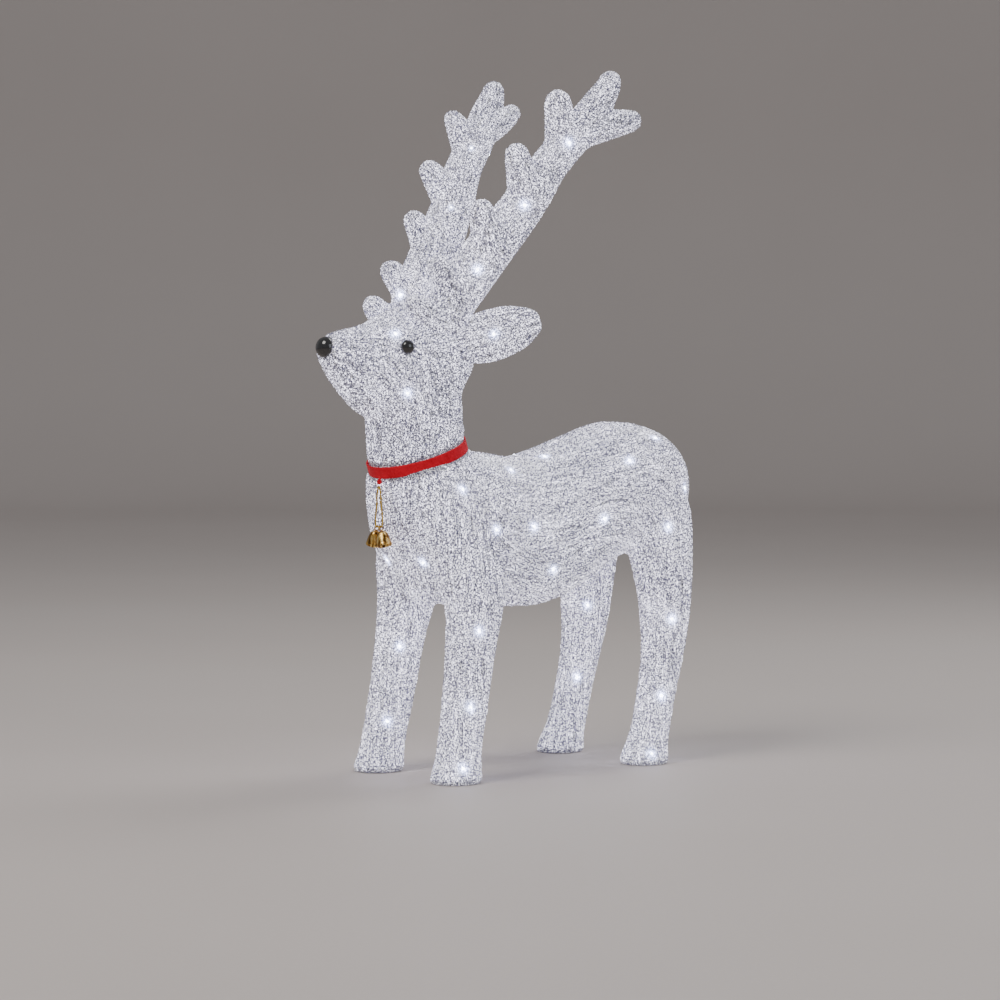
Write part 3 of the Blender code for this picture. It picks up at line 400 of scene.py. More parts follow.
def thread_material(name, painted_gap_shade):
    """Clear acrylic thread, half melted, with a painted milky blue-white glow where a light is near and painted
    glints, bright emissive grains scattered along the threads. The inner skin's variant is painted darker as the
    shade seen in the gaps between threads.
    """
    n = Nodes(name)
    grain = n.noise(640.0, 1.0, 0.5)
    glint_and_roughness_noise = n.noise(900.0, 0.0, 0.5)
    patches = n.noise(30.0, 2.0, 0.5)
    strand = n.attribute("strand")
    glow = n.attribute("glow")
    # the inner skin's darker colours are painted shade: the shade seen in the gaps between the threads
    low, middle, high = ((0.035, 0.035, 0.06), (0.15, 0.15, 0.23), (0.40, 0.40, 0.52)) if painted_gap_shade else ((0.14, 0.14, 0.22), (0.40, 0.395, 0.54), (0.84, 0.83, 0.98))
    tone = n.ramp(grain, (0.36, low), (0.48, middle), (0.62, high))
    shade = n.mix(n.maths("ADD", n.span(strand, 0.0, 1.0, 0.0, 0.9), n.span(patches, 0.35, 0.65, -0.10, 0.16)), (1.0, 0.99, 1.0), (0.34, 0.34, 0.47))
    tone = n.mix(1.0, tone, shade, "MULTIPLY")
    # painted glints: specks of white colour and strong emission stand in for highlights glinting off the threads
    painted_glint = n.ramp(glint_and_roughness_noise, (0.56, (0, 0, 0)), (0.605, (1, 1, 1)))
    tone = n.mix(painted_glint, tone, (1.0, 1.0, 1.0))
    # painted inner glow: a weak emission over every thread, standing in for the lights inside
    inner = n.maths("MULTIPLY", n.span(strand, 0.0, 1.0, 1.0, 0.35), 0.08 if not painted_gap_shade else 0.03)
    painted_glint_glow = n.maths("MULTIPLY", painted_glint, n.span(strand, 0.0, 1.0, 3.6, 0.9) if not painted_gap_shade else 0.2)
    # painted light: the emission adds the glow of the lights near each point, the painted glints and the painted
    # inner glow; its colour turns bluer where the painted glow is strong
    light = n.maths("ADD", n.maths("MULTIPLY", glow, n.span(glint_and_roughness_noise, 0.40, 0.60, 0.30, 1.6)), n.maths("ADD", painted_glint_glow, inner))
    n.set(
        colour=tone,
        roughness=n.span(glint_and_roughness_noise, 0.3, 0.7, 0.08, 0.36),
        coat=0.4, coat_roughness=0.07, specular=0.7,
        emission=n.mix(n.span(glow, 0.15, 1.2, 0.0, 1.0), (0.84, 0.83, 1.0), (0.58, 0.64, 1.0)),
        strength=light,
    )
    n.bump(grain, 0.8, 0.0008)
    return n.material


THREAD = thread_material("acrylic_thread", False)
INNER = thread_material("acrylic_inner_skin", True)


def led_material():
    n = Nodes("led_lens")
    swirl = n.noise(900.0, 1.0)
    n.set(colour=n.ramp(swirl, (0.3, (0.86, 0.90, 1.0)), (0.7, (1.0, 1.0, 1.0))), roughness=n.span(swirl, 0.3, 0.7, 0.05, 0.2), emission=(0.84, 0.90, 1.0), strength=n.span(swirl, 0.3, 0.7, 9.0, 18.0))
    return n.material


def velvet_material():
    n = Nodes("red_velvet")
    nap = n.noise(1400.0, 3.0, 0.6)
    brushed = n.noise(90.0, 2.0, 0.5, 1.5)
    shade = n.mix(n.span(brushed, 0.3, 0.7, 0.0, 1.0), (0.56, 0.003, 0.012), (0.76, 0.006, 0.024))
    shade = n.mix(n.span(nap, 0.35, 0.65, 0.0, 0.5), shade, (0.86, 0.018, 0.045))
    n.set(colour=shade, roughness=n.span(nap, 0.3, 0.7, 0.75, 0.95), sheen=0.3, sheen_roughness=0.4, sheen_tint=(1.0, 0.25, 0.28), specular=0.2)
    n.bump(nap, 0.5, 0.0004)
    return n.material


def cord_material():
    n = Nodes("gold_cord")
    fibre = n.noise(1300.0, 1.5, 0.6)
    tint = n.noise(220.0, 2.0)
    colour = n.mix(n.span(fibre, 0.3, 0.7, 0.0, 1.0), (0.30, 0.17, 0.012), (0.66, 0.44, 0.05))
    colour = n.mix(n.span(tint, 0.35, 0.65, 0.0, 0.4), colour, (0.55, 0.37, 0.06))
    n.set(colour=colour, roughness=n.span(fibre, 0.3, 0.7, 0.32, 0.6), metallic=0.35, sheen=0.2)
    n.bump(fibre, 0.6, 0.0002)
    return n.material


def brass_material():
    n = Nodes("antique_brass")
    stretch = n.new("ShaderNodeMapping")
    n.link(n.place, stretch, "Vector")
    stretch.inputs["Scale"].default_value = (1.0, 1.0, 0.28)
    wear = n.noise(430.0, 2.0, 0.55, 0.3, stretch.outputs["Vector"])
    spots = n.noise(900.0, 2.0, 0.6)
    colour = n.ramp(wear, (0.36, (0.085, 0.036, 0.010)), (0.45, (0.36, 0.17, 0.035)), (0.54, (0.80, 0.50, 0.13)), (0.66, (0.98, 0.74, 0.32)))
    colour = n.mix(n.span(spots, 0.54, 0.66, 0.0, 0.6), colour, (0.13, 0.06, 0.018))
    n.set(colour=colour, roughness=n.span(spots, 0.3, 0.7, 0.20, 0.46), metallic=1.0)
    n.bump(wear, 0.25, 0.0004)
    return n.material


def black_material():
    n = Nodes("black_gloss")
    haze = n.noise(500.0, 3.0, 0.5)
    fine = n.noise(2600.0, 2.0, 0.5)
    n.set(colour=n.ramp(haze, (0.3, (0.006, 0.006, 0.007)), (0.7, (0.022, 0.020, 0.021))), roughness=n.span(fine, 0.3, 0.7, 0.05, 0.17), coat=0.6, coat_roughness=0.04, specular=0.6)
    n.bump(haze, 0.08, 0.0004)
    return n.material


def plastic_material(name, low, high, rough=(0.34, 0.5)):
    n = Nodes(name)
    grain = n.noise(2200.0, 3.0, 0.55)
    cloud = n.noise(60.0, 2.0)
    n.set(colour=n.mix(n.span(cloud, 0.3, 0.7, 0.0, 1.0), low, high), roughness=n.span(grain, 0.3, 0.7, *rough))
    n.bump(grain, 0.25, 0.0002)
    return n.material


def metal_material(name, low, high, rough=(0.2, 0.4)):
    n = Nodes(name)
    brushed = n.noise(900.0, 3.0, 0.6, 0.4)
    n.set(colour=n.mix(n.span(brushed, 0.3, 0.7, 0.0, 1.0), low, high), roughness=n.span(brushed, 0.3, 0.7, *rough), metallic=1.0)
    n.bump(brushed, 0.15, 0.0002)
    return n.material


LED = led_material()
VELVET = velvet_material()
CORD = cord_material()
BRASS = brass_material()
BLACK = black_material()
WHITE_PLASTIC = plastic_material("tray_plastic", (0.78, 0.79, 0.80), (0.86, 0.87, 0.88))
CLEAR_PLASTIC = plastic_material("sleeve_plastic", (0.80, 0.82, 0.86), (0.9, 0.92, 0.95), (0.15, 0.3))
RUBBER = plastic_material("button_rubber", (0.035, 0.035, 0.038), (0.07, 0.07, 0.075), (0.55, 0.8))
BOARD = plastic_material("circuit_board", (0.012, 0.12, 0.045), (0.03, 0.2, 0.09), (0.3, 0.55))
WIRE = plastic_material("clear_wire", (0.70, 0.73, 0.80), (0.86, 0.89, 0.95), (0.15, 0.3))
STEEL = metal_material("nickel_steel", (0.50, 0.51, 0.53), (0.72, 0.73, 0.75))
IRON = metal_material("clapper_iron", (0.16, 0.14, 0.12), (0.36, 0.32, 0.27), (0.35, 0.6))


def cell_material():
    """A plain printed jacket: dark can with a pale band at one end."""
    n = Nodes("cell_jacket")
    split = n.new("ShaderNodeSeparateXYZ")
    n.link(n.place, split, "Vector")
    grain = n.noise(1500.0, 2.0)
    edge = n.span(n.maths("ABSOLUTE", split.outputs["X"]), 0.0125, 0.0128, 0.0, 1.0)
    n.set(colour=n.mix(edge, (0.035, 0.04, 0.045), (0.62, 0.52, 0.25)), roughness=n.span(grain, 0.3, 0.7, 0.22, 0.4), metallic=0.3)
    n.bump(grain, 0.1, 0.0002)
    return n.material


CELL = cell_material()

# ---- skins ------------------------------------------------------------------------------


def whole_skin(bm):
    along_y(bm, TORSO, 2.25, 1.0)
    neck(bm)
    along_y(bm, HEAD, 2.1)
    for side in (-1, 1):
        leg(bm, FRONT_LEG, side)
        leg(bm, REAR_LEG, side)


def antler_fill(side):
    def fill(bm):
        for rows in (STEM, *(LEFT_TINES if side > 0 else RIGHT_TINES)):
            tube(bm, [(side * x, y, z, r) for x, y, z, r in rows])
    return fill


def ear_axes(side):
    root = Vector((side * EAR_ROOT.x, EAR_ROOT.y, EAR_ROOT.z))
    tip = Vector((side * EAR_TIP.x, EAR_TIP.y, EAR_TIP.z))
    axis = (tip - root).normalized()
    across = Vector((-side * 0.12, -0.1, 1.0))
    across = (across - axis * across.dot(axis)).normalized()
    return root, tip, axis, across, axis.cross(across).normalized()


def ear_fill(side):
    def fill(bm):
        root, tip, axis, across, thick = ear_axes(side)
        rings = []
        for share, half, depth in smooth_rows(EAR, 4):
            centre = root + (tip - root) * share
            rings.append([centre + across * a * half + thick * b * depth for a, b in oval(32, 2.0)])
        skin_rings(bm, rings)
    return fill


skin = fused("skin", whole_skin, 3.0, 14)
antlers = {side: fused("antler", antler_fill(side), 2.4, 8) for side in (1, -1)}
ears = {side: fused("ear", ear_fill(side), 1.6, 3) for side in (1, -1)}


def tree_of(mesh):
    return BVHTree.FromPolygons([v.co.copy() for v in mesh.vertices], [tuple(p.vertices) for p in mesh.polygons])


skin_tree = tree_of(skin)
antler_trees = {side: tree_of(mesh) for side, mesh in antlers.items()}
ear_trees = {side: tree_of(mesh) for side, mesh in ears.items()}

# ---- where the lights show ----------------------------------------------------------------

spots = []      # (point on the skin, outward direction, strength)


def show_light(tree, at, toward, strength=1.0):
    """The light at a point inside, seen where toward leaves the skin."""
    at, toward = Vector(at), Vector(toward).normalized()
    hit = tree.ray_cast(at, toward)
    if hit[0] is None:
        hit = tree.find_nearest(at)
    normal = hit[1]
    if normal.dot(toward) < 0:
        normal = -normal
    spots.append((hit[0], normal, strength))


for side in (1, -1):
    for x, y, z in (*FLANK_LIGHTS, *CHEST_LIGHTS, *BACK_LIGHTS, *CHEEK_LIGHTS):
        at = Vector((side * x, y, z))
        near = skin_tree.find_nearest(at)
        show_light(skin_tree, at, near[0] - at if (near[0] - at).length > 0.5 else near[1])
    for table, heights in ((FRONT_LEG, FRONT_LIGHTS[side]), (REAR_LEG, REAR_LIGHTS[side])):
        rows = smooth_rows([row[:3] for row in table], 4)
        zs = [row[0] for row in rows]
        for height in heights:
            at = Vector((side * float(np.interp(height, zs, [row[1] for row in rows])), float(np.interp(height, zs, [row[2] for row in rows])), height))
            show_light(skin_tree, at, (side * 0.88, -0.4, 0.02))
            show_light(skin_tree, at, (-side * 0.8, -0.6, 0.02), 0.9)
            show_light(skin_tree, at, (side * 0.1, 0.95, 0.02), 0.75)
    for step, (x, y, z) in enumerate(ANTLER_LIGHTS):
        front = 1.0 if side > 0 else 0.3
        if side > 0 or step:
            show_light(antler_trees[side], (side * x, y, z), (side * 0.85, -0.5, 0.1), front)
            show_light(antler_trees[side], (side * x, y, z), (-side * 0.75, -0.6, 0.1), 0.8 * front)
        else:
            show_light(antler_trees[side], (side * x, y, z), (0.2, -0.8, -0.42), 1.1)
        show_light(antler_trees[side], (side * x, y, z), (-side * 0.2, 0.9, -0.1), 0.8)
    root, tip, axis, across, thick = ear_axes(side)
    at = root.lerp(tip, EAR_LIGHT)
    show_light(ear_trees[side], at, thick, 0.8)
    show_light(ear_trees[side], at, -thick, 0.8)

spot_at = np.array([s[0] for s in spots])
spot_strength = np.array([s[2] for s in spots])


def glow_at(points):
    """How brightly the lights reach each point (mm): a sharp core and a wide soft halo."""
    out = np.zeros(len(points))
    for start in range(0, len(points), 40000):
        part = points[start:start + 40000]
        d = np.sqrt(((part[:, None, :] - spot_at[None]) ** 2).sum(2))
        # painted light: a pool of glow around each spot where a light shows, painted onto the skins and threads as
        # emission
        light = 11.0 * np.exp(-((d / 2.4) ** 2)) + 1.3 * np.exp(-((d / 5.4) ** 2)) + 0.26 * np.exp(-d / 14.0)
        out[start:start + 40000] = (light * spot_strength).sum(1)
    return out


def give(mesh, name, values):
    mesh.attributes.new(name, "FLOAT", "POINT").data.foreach_set("value", np.asarray(values, np.float32))


def finish_skin(name, mesh, material, *nodes):
    """Places an inner skin in the row frame, with its glow."""
    co = np.zeros(len(mesh.vertices) * 3, np.float32)
    mesh.vertices.foreach_get("co", co)
    co = co.reshape(-1, 3)
    # painted light: the lights' glow is painted on the inner skin as its glow attribute
    give(mesh, "glow", glow_at(co) * 0.8)
    give(mesh, "strand", np.full(len(co), 0.3))
    mesh.transform(Matrix.Scale(MM, 4) @ Matrix.Translation(SHIFT))
    mesh.polygons.foreach_set("use_smooth", [True] * len(mesh.polygons))
    mesh.materials.clear()
    obj = put(name, mesh, material)
    if nodes:
        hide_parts(*nodes)
    return obj


def cut(bm, point, normal, near=None, fill=False, clear=True):
    """Cuts with a plane and, with clear, drops what lies on the side that normal points to."""
    faces = [f for f in bm.faces if near is None or near(f.calc_center_median())]
    geom = list({v for f in faces for v in f.verts}) + list({e for f in faces for e in f.edges}) + faces
    made = bmesh.ops.bisect_plane(bm, geom=geom, plane_co=point, plane_no=normal, clear_outer=clear, dist=1e-4)
    if fill:
        bmesh.ops.holes_fill(bm, edges=[e for e in made["geom_cut"] if isinstance(e, bmesh.types.BMEdge)], sides=0)


half, y0, y1 = TRAY
bm = bmesh.new()
bm.from_mesh(skin)
cut(bm, Vector((0, 0, 0.35)), Vector((0, 0, -1)), fill=True)


LEAN = Matrix.Translation(TRAY_AT) @ Matrix.Rotation(TRAY_PITCH, 4, "X") @ Matrix.Translation(-TRAY_AT)
UPRIGHT = LEAN.inverted()


def by_tray(p, room=8.0):
    p = UPRIGHT @ Vector(p)
    return p.z < 165 and abs(p.x) < half + room and y0 - room < p.y < y1 + room


for point, normal in (((half, 0, 150), (1, 0, 0)), ((-half, 0, 150), (-1, 0, 0)), ((0, y0, 150), (0, -1, 0)), ((0, y1, 150), (0, 1, 0))):
    cut(bm, LEAN @ Vector(point), LEAN.to_3x3() @ Vector(normal), by_tray, clear=False)
inside = [f for f in bm.faces if by_tray(f.calc_center_median(), 0.0)]
bmesh.ops.delete(bm, geom=inside, context="FACES")
whole = bpy.data.meshes.new("whole")
bm.to_mesh(whole)
bm.free()
for word, sign in (("body", 1), ("head", -1)):
    bm = bmesh.new()
    bm.from_mesh(whole)
    cut(bm, COLLAR_CENTRE, COLLAR_NORMAL * sign)
    mesh = bpy.data.meshes.new(f"{word}_inner_skin")
    bm.to_mesh(mesh)
    bm.free()
    finish_skin(f"{word}_inner_skin", mesh, INNER, f"{word}_shell_left", f"{word}_shell_right")
for side, word in ((1, "left"), (-1, "right")):
    finish_skin(f"antler_inner_skin_{word}", antlers[side], INNER, f"antler_{word}")
    finish_skin(f"ear_inner_skin_{word}", ears[side], INNER, f"ear_{word}")

# ---- threads ------------------------------------------------------------------------------

FLOW_Y = (-130, -85, -70, -53, -30, -5, 32, 50, 69, 90, 105, 125, 145, 180)
FLOW_LOW = (-92, -88, -72, -34, -13, 0, 24, 20, 5, -20, -45, -75, -88, -95)
FLOW_HIGH_Y = (-130, -85, -53, -20, 30, 60, 90, 115, 140, 160, 180)
FLOW_HIGH = (-88, -60, -28, -5, 10, 8, 0, -15, -45, -80, -95)


def ease(value, low, high):
    t = min(max((value - low) / (high - low), 0.0), 1.0)
    return t * t * (3 - 2 * t)


def body_flow(p):
    """The way that the threads are wound at a point of the body or head."""
    x, y, z = p
    if z > 300:                                      # head: back along the jaw, then down the neck
        down = ease(y, -185, -118) * (1 - ease(z, 352, 392))
        fall = 0.30 + 2.2 * down if z < 372 else 0.30 * (1 - ease(z, 372, 392)) - 0.15
        head_way = Vector((0, 1, -fall)).normalized()
        up = 1 - ease(z, 315, 350)
        if y > -150 and up > 0:
            head_way = head_way.lerp(Vector((0, 0, -1)), up)
        return head_way.normalized()
    low = math.radians(np.interp(y, FLOW_Y, FLOW_LOW))
    high = math.radians(np.interp(y, FLOW_HIGH_Y, FLOW_HIGH))
    angle = low + (high - low) * ease(z, 205, 268)
    plumb = max(1 - ease(z, 128, 160), ease(z, 268, 290) if y < -60 else 0.0)
    angle = angle * (1 - plumb) + math.radians(-90) * plumb
    return Vector((0, math.cos(angle), math.sin(angle)))


def antler_flow(side):
    lines = []
    for rows in (STEM, *(LEFT_TINES if side > 0 else RIGHT_TINES)):
        rows = smooth_rows([(side * x, y, z) for x, y, z, _ in rows], 3)
        lines += [((Vector(a) + Vector(b)) / 2, (Vector(b) - Vector(a)).normalized()) for a, b in zip(rows, rows[1:])]
    middles = np.array([m for m, _ in lines])

    def flow(p):
        k = int(((middles - np.array(p)) ** 2).sum(1).argmin())
        return lines[k][1]
    return flow


def seeds_on(mesh_points, triangles, count):
    a, b, c = (mesh_points[triangles[:, k]] for k in range(3))
    area = np.linalg.norm(np.cross(b - a, c - a), axis=1)
    pick = rng.choice(len(triangles), size=count, p=area / area.sum())
    u, v = rng.random(count), rng.random(count)
    over = u + v > 1
    u[over], v[over] = 1 - u[over], 1 - v[over]
    return a[pick] + (b - a)[pick] * u[:, None] + (c - a)[pick] * v[:, None], area.sum() / 2


def corners(mesh_points_from):
    mesh = mesh_points_from
    mesh.calc_loop_triangles()
    co = np.zeros(len(mesh.vertices) * 3, np.float32)
    mesh.vertices.foreach_get("co", co)
    tri = np.zeros(len(mesh.loop_triangles) * 3, np.int32)
    mesh.loop_triangles.foreach_get("vertices", tri)
    return co.reshape(-1, 3).astype(float), tri.reshape(-1, 3)


CELL_SIZE = 2.0


def lay(tree, seeds, flow, stop, lengths, step, wander, layers, weave=0.05, patch=CELL_SIZE):
    """Threads as lists of (point, normal), laid until each patch of skin is covered."""
    covered, threads = {}, []
    for seed in seeds:
        here, normal, _, _ = tree.find_nearest(Vector(seed))
        key = (int(here.x // patch), int(here.y // patch), int(here.z // patch))
        if covered.get(key, 0) >= layers or stop(here):
            continue
        length = rng.uniform(*lengths)
        turn = rng.normal(0, wander)
        halves = []
        for sense in (1, -1):
            p, n, way, run = here, normal, None, []
            for _ in range(max(1, int(length / 2 / step))):
                ahead = flow(p)
                ahead = ahead - n * ahead.dot(n)
                if ahead.length < 0.25:
                    ahead = way.copy() if way else Vector((0, 1, 0)) - n * n.y
                    ahead = ahead - n * ahead.dot(n)
                ahead.normalize()
                ahead = ahead * math.cos(turn) + n.cross(ahead) * math.sin(turn)
                if sense < 0:
                    ahead = -ahead
                if way and ahead.dot(way) < 0:
                    ahead = -ahead
                turn += rng.normal(0, weave)
                q, m, _, _ = tree.find_nearest(p + ahead * step)
                if q is None or (q - p).length < step * 0.4 or stop(q):
                    break
                for share in (0.33, 0.67, 1.0):
                    r = p.lerp(q, share)
                    k = (int(r.x // patch), int(r.y // patch), int(r.z // patch))
                    covered[k] = covered.get(k, 0) + 1
                p, n, way = q, m, ahead
                run.append((p, n))
            halves.append(run)
        path = halves[1][::-1] + [(here, normal)] + halves[0]
        if len(path) >= 3:
            threads.append(path)
    return threads


def tubes(name, threads, radius, sides=4, lift=(0.0, 0.5), parts=1, body="reindeer"):
    """Meshes of round threads with their ends melted into the skin."""
    made = []
    order = np.array_split(np.arange(len(threads)), parts)
    turns = np.arange(sides) * 2 * math.pi / sides
    for index, chosen in enumerate(order):
        vertices, faces, strand, base = [], [], [], 0
        for k in chosen:
            path = threads[k]
            p = np.array([q for q, _ in path])
            n = np.array([m for _, m in path])
            n /= np.linalg.norm(n, axis=1)[:, None]
            count = len(p)
            ahead = np.gradient(p, axis=0)
            ahead /= np.linalg.norm(ahead, axis=1)[:, None] + 1e-9
            across = np.cross(ahead, n)
            across /= np.linalg.norm(across, axis=1)[:, None] + 1e-9
            up = np.cross(across, ahead)
            thick = radius * rng.uniform(0.75, 1.15) * rng.uniform(0.78, 1.2, count)
            rise = rng.uniform(*lift) + rng.normal(0, 0.08, count)
            thick[0] *= 0.4
            thick[-1] *= 0.4
            rise[0] -= 0.5
            rise[-1] -= 0.5
            centre = p + n * rise[:, None]
            ring = centre[:, None, :] + thick[:, None, None] * (
                np.cos(turns)[None, :, None] * across[:, None, :] + np.sin(turns)[None, :, None] * up[:, None, :]
            )
            vertices.append(ring.reshape(-1, 3))
            strand.append(np.full(count * sides, rng.random()))
            rows = base + np.arange(count - 1)[:, None] * sides
            j = np.arange(sides)[None]
            nxt = (j + 1) % sides
            faces.append(np.stack((rows + j, rows + nxt, rows + sides + nxt, rows + sides + j), 2).reshape(-1, 4))
            base += count * sides
        vertices = np.concatenate(vertices)
        piece = name if parts == 1 else f"{name}_{index + 1}"
        mesh = bpy.data.meshes.new(piece)
        faces = np.concatenate(faces).astype(np.int32)
        mesh.vertices.add(len(vertices))
        mesh.vertices.foreach_set("co", ((vertices + np.array(SHIFT)) * MM).astype(np.float32).ravel())
        mesh.loops.add(faces.size)
        mesh.loops.foreach_set("vertex_index", faces.ravel())
        mesh.polygons.add(len(faces))
        mesh.polygons.foreach_set("loop_start", np.arange(0, faces.size, 4, dtype=np.int32))
        mesh.polygons.foreach_set("use_smooth", np.ones(len(faces), bool))
        mesh.update(calc_edges=True)
        # painted light: the lights' glow is painted on the threads as their glow attribute
        give(mesh, "glow", glow_at(vertices))
        give(mesh, "strand", np.concatenate(strand))
        made.append(put(piece, mesh, THREAD, body))
    return made


def collar_height(p):
    return (p - COLLAR_CENTRE).dot(COLLAR_NORMAL)


eye_middles = [Vector((side * 36.6, -144.5, 375.4)) for side in (1, -1)]


def skin_stop(p):
    if p.z < 0.9:
        return True
    if p.z < 165 and by_tray(p, 0.6):
        return True
    if abs(collar_height(p)) < COLLAR_WIDTH / 2 + 0.5 and p.z < 320:
        return True
    if p.z > 340:
        if (p - NOSE_MIDDLE).length < NOSE_R * 0.9:
            return True
        if min((p - eye).length for eye in eye_middles) < EYE_R * 0.9:
            return True
    return False


points, triangles = corners(skin)
seeds, area = seeds_on(points, triangles, 90000)
skin_seeds = seeds[seeds[:, 2] > 0.9]
is_head = np.array([collar_height(Vector(s)) > 0 for s in skin_seeds])
body_threads = lay(skin_tree, skin_seeds[~is_head], body_flow, skin_stop, (40, 110), 3.8, 0.045, 1, 0.03, 3.1)
head_threads = lay(skin_tree, skin_seeds[is_head], body_flow, skin_stop, (18, 44), 3.2, 0.14, 1, 0.05, 2.3)
short = rng.random(len(skin_seeds)) < 0.12
loose_threads = lay(skin_tree, skin_seeds[short], body_flow, skin_stop, (8, 18), 2.6, 0.45, 2, 0.1, 2.0)
tubes("body_threads", body_threads, 1.32, lift=(-0.5, 0.15), parts=5)
tubes("head_threads", head_threads, 1.0, lift=(-0.35, 0.2), parts=2)
tubes("loose_threads", loose_threads, 0.50, lift=(0.7, 1.1), parts=1)

for side, word in ((1, "left"), (-1, "right")):
    points, triangles = corners(antlers[side])
    points = points / MM - np.array(SHIFT)
    seeds, area = seeds_on(points, triangles, 16000)

    def inside_head(p, tree=skin_tree):
        if p.z > 425:
            return False
        near, normal, _, _ = tree.find_nearest(p)
        return (p - near).dot(normal) < -0.4

    threads = lay(antler_trees[side], seeds, antler_flow(side), inside_head, (16, 40), 3.0, 0.22, 1, 0.08, 2.1)
    tubes(f"antler_threads_{word}", threads, 0.9, lift=(-0.3, 0.2))
    root, tip, axis, across, thick = ear_axes(side)
    points, triangles = corners(ears[side])
    points = points / MM - np.array(SHIFT)
    seeds, area = seeds_on(points, triangles, 5000)
    threads = lay(ear_trees[side], seeds, lambda p, axis=axis: axis, inside_head, (16, 40), 3.0, 0.15, 1, 0.06, 2.0)
    tubes(f"ear_threads_{word}", threads, 0.84, lift=(-0.3, 0.2))

print("threads", len(body_threads), len(head_threads), len(loose_threads))

# ---- lights that show through the skin -----------------------------------------------------

bm = bmesh.new()
for at, normal, strength in spots:
    size = 1.35 if strength > 0.7 else 0.9
    turn = normal.to_track_quat("Z", "Y").to_matrix().to_4x4()
    place = Matrix.Translation(at + normal * 0.9) @ turn @ Matrix.Diagonal((size, size, size * 0.75, 1.0))
    bmesh.ops.create_icosphere(bm, subdivisions=2, radius=1.0, matrix=place)
put("led_tips", from_bmesh("led_tips", bm), LED)

# ---- nose and eyes --------------------------------------------------------------------------


def turned_mesh(name, profile, segments, frame_matrix):
    """Revolves an open (radius, height) line in mm about Z, then places it."""
    bm = bmesh.new()
    rows = []
    for r, z in profile:
        if r < 1e-6:
            rows.append([bm.verts.new(frame_matrix @ Vector((0, 0, z)))])
        else:
            rows.append([bm.verts.new(frame_matrix @ Vector((r * math.cos(2 * math.pi * k / segments), r * math.sin(2 * math.pi * k / segments), z))) for k in range(segments)])
    for first, second in zip(rows, rows[1:]):
        for k in range(segments):
            n = (k + 1) % segments
            ring = [first[k % len(first)], first[n % len(first)], second[n % len(second)], second[k % len(second)]]
            ring = list(dict.fromkeys(ring))
            if len(ring) >= 3:
                bm.faces.new(ring)
    return bm


def dome(radius, flat, start=-14, steps=16):
    return [(radius * math.cos(math.radians(a)), radius * flat * math.sin(math.radians(a))) for a in np.linspace(start, 88, steps)] + [(0.0, radius * flat)]


place = Matrix.Translation(NOSE_MIDDLE) @ FORWARD.to_track_quat("Z", "Y").to_matrix().to_4x4()
profile = [(0.0, -4.0), (2.2, -4.0), (2.2, -2.3), (NOSE_R - 0.9, -2.3), (NOSE_R - 0.2, -2.05), (NOSE_R, -1.5), (NOSE_R - 0.05, -0.9), (NOSE_R - 0.35, -0.6)] + dome(NOSE_R - 0.15, 0.87, -2)
nose = put("nose_bead", from_bmesh("nose_bead", turned_mesh("nose_bead", profile, 56, place)), BLACK)
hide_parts("nose")
for side, word in ((1, "left"), (-1, "right")):
    outward = Vector((side * 1.0, -0.14, 0.02)).normalized()
    place = Matrix.Translation(Vector((side * 36.6, -144.5, 375.4))) @ outward.to_track_quat("Z", "Y").to_matrix().to_4x4()
    profile = [(0.0, -5.0), (1.5, -5.0), (1.5, -1.4), (EYE_R - 0.6, -1.4), (EYE_R - 0.1, -1.1), (EYE_R, -0.7)] + dome(EYE_R, 0.84, 0)
    eye = put(f"eye_bead_{word}", from_bmesh(f"eye_bead_{word}", turned_mesh("eye", profile, 44, place)), BLACK)
    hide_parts(f"eye_{word}")

# ---- ribbon collar -------------------------------------------------------------------------

IN_R, OUT_R = 43.5, 44.7
section = [(IN_R, -4.85), (IN_R + 0.15, -5.0), (OUT_R - 0.25, -5.0), (OUT_R, -4.7), (OUT_R - 0.12, -3.2), (OUT_R - 0.05, 0.0), (OUT_R - 0.12, 3.2), (OUT_R, 4.7), (OUT_R - 0.25, 5.0), (IN_R + 0.15, 5.0), (IN_R, 4.85)]
bm = bmesh.new()
around = 144
loops = []
collar_place = Matrix.Translation(COLLAR_CENTRE) @ COLLAR_TURN
for k in range(around):
    a = 2 * math.pi * k / around
    ripple = 0.04 * math.sin(7 * a) + 0.03 * math.sin(17 * a + 1.0)
    wave = 0.06 * math.sin(3 * a + 0.6)
    loops.append([bm.verts.new(collar_place @ Vector(((r + ripple) * math.cos(a), (r + ripple) * math.sin(a), z + wave))) for r, z in section])
for k in range(around):
    first, second = loops[k], loops[(k + 1) % around]
    for j in range(len(section)):
        m = (j + 1) % len(section)
        bm.faces.new((first[j], first[m], second[m], second[j]))
ribbon = put("velvet_ribbon", from_bmesh("velvet_ribbon", bm), VELVET)
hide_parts("collar_ribbon")

throat = COLLAR_CENTRE + COLLAR_TURN @ Vector((0, -(42.9 + 0.55), -COLLAR_WIDTH / 2))
KNOT = Vector((0.0, throat.y - 2.2, throat.z - 3.1))
PIVOT = KNOT + Vector((0, -0.2, -1.4))


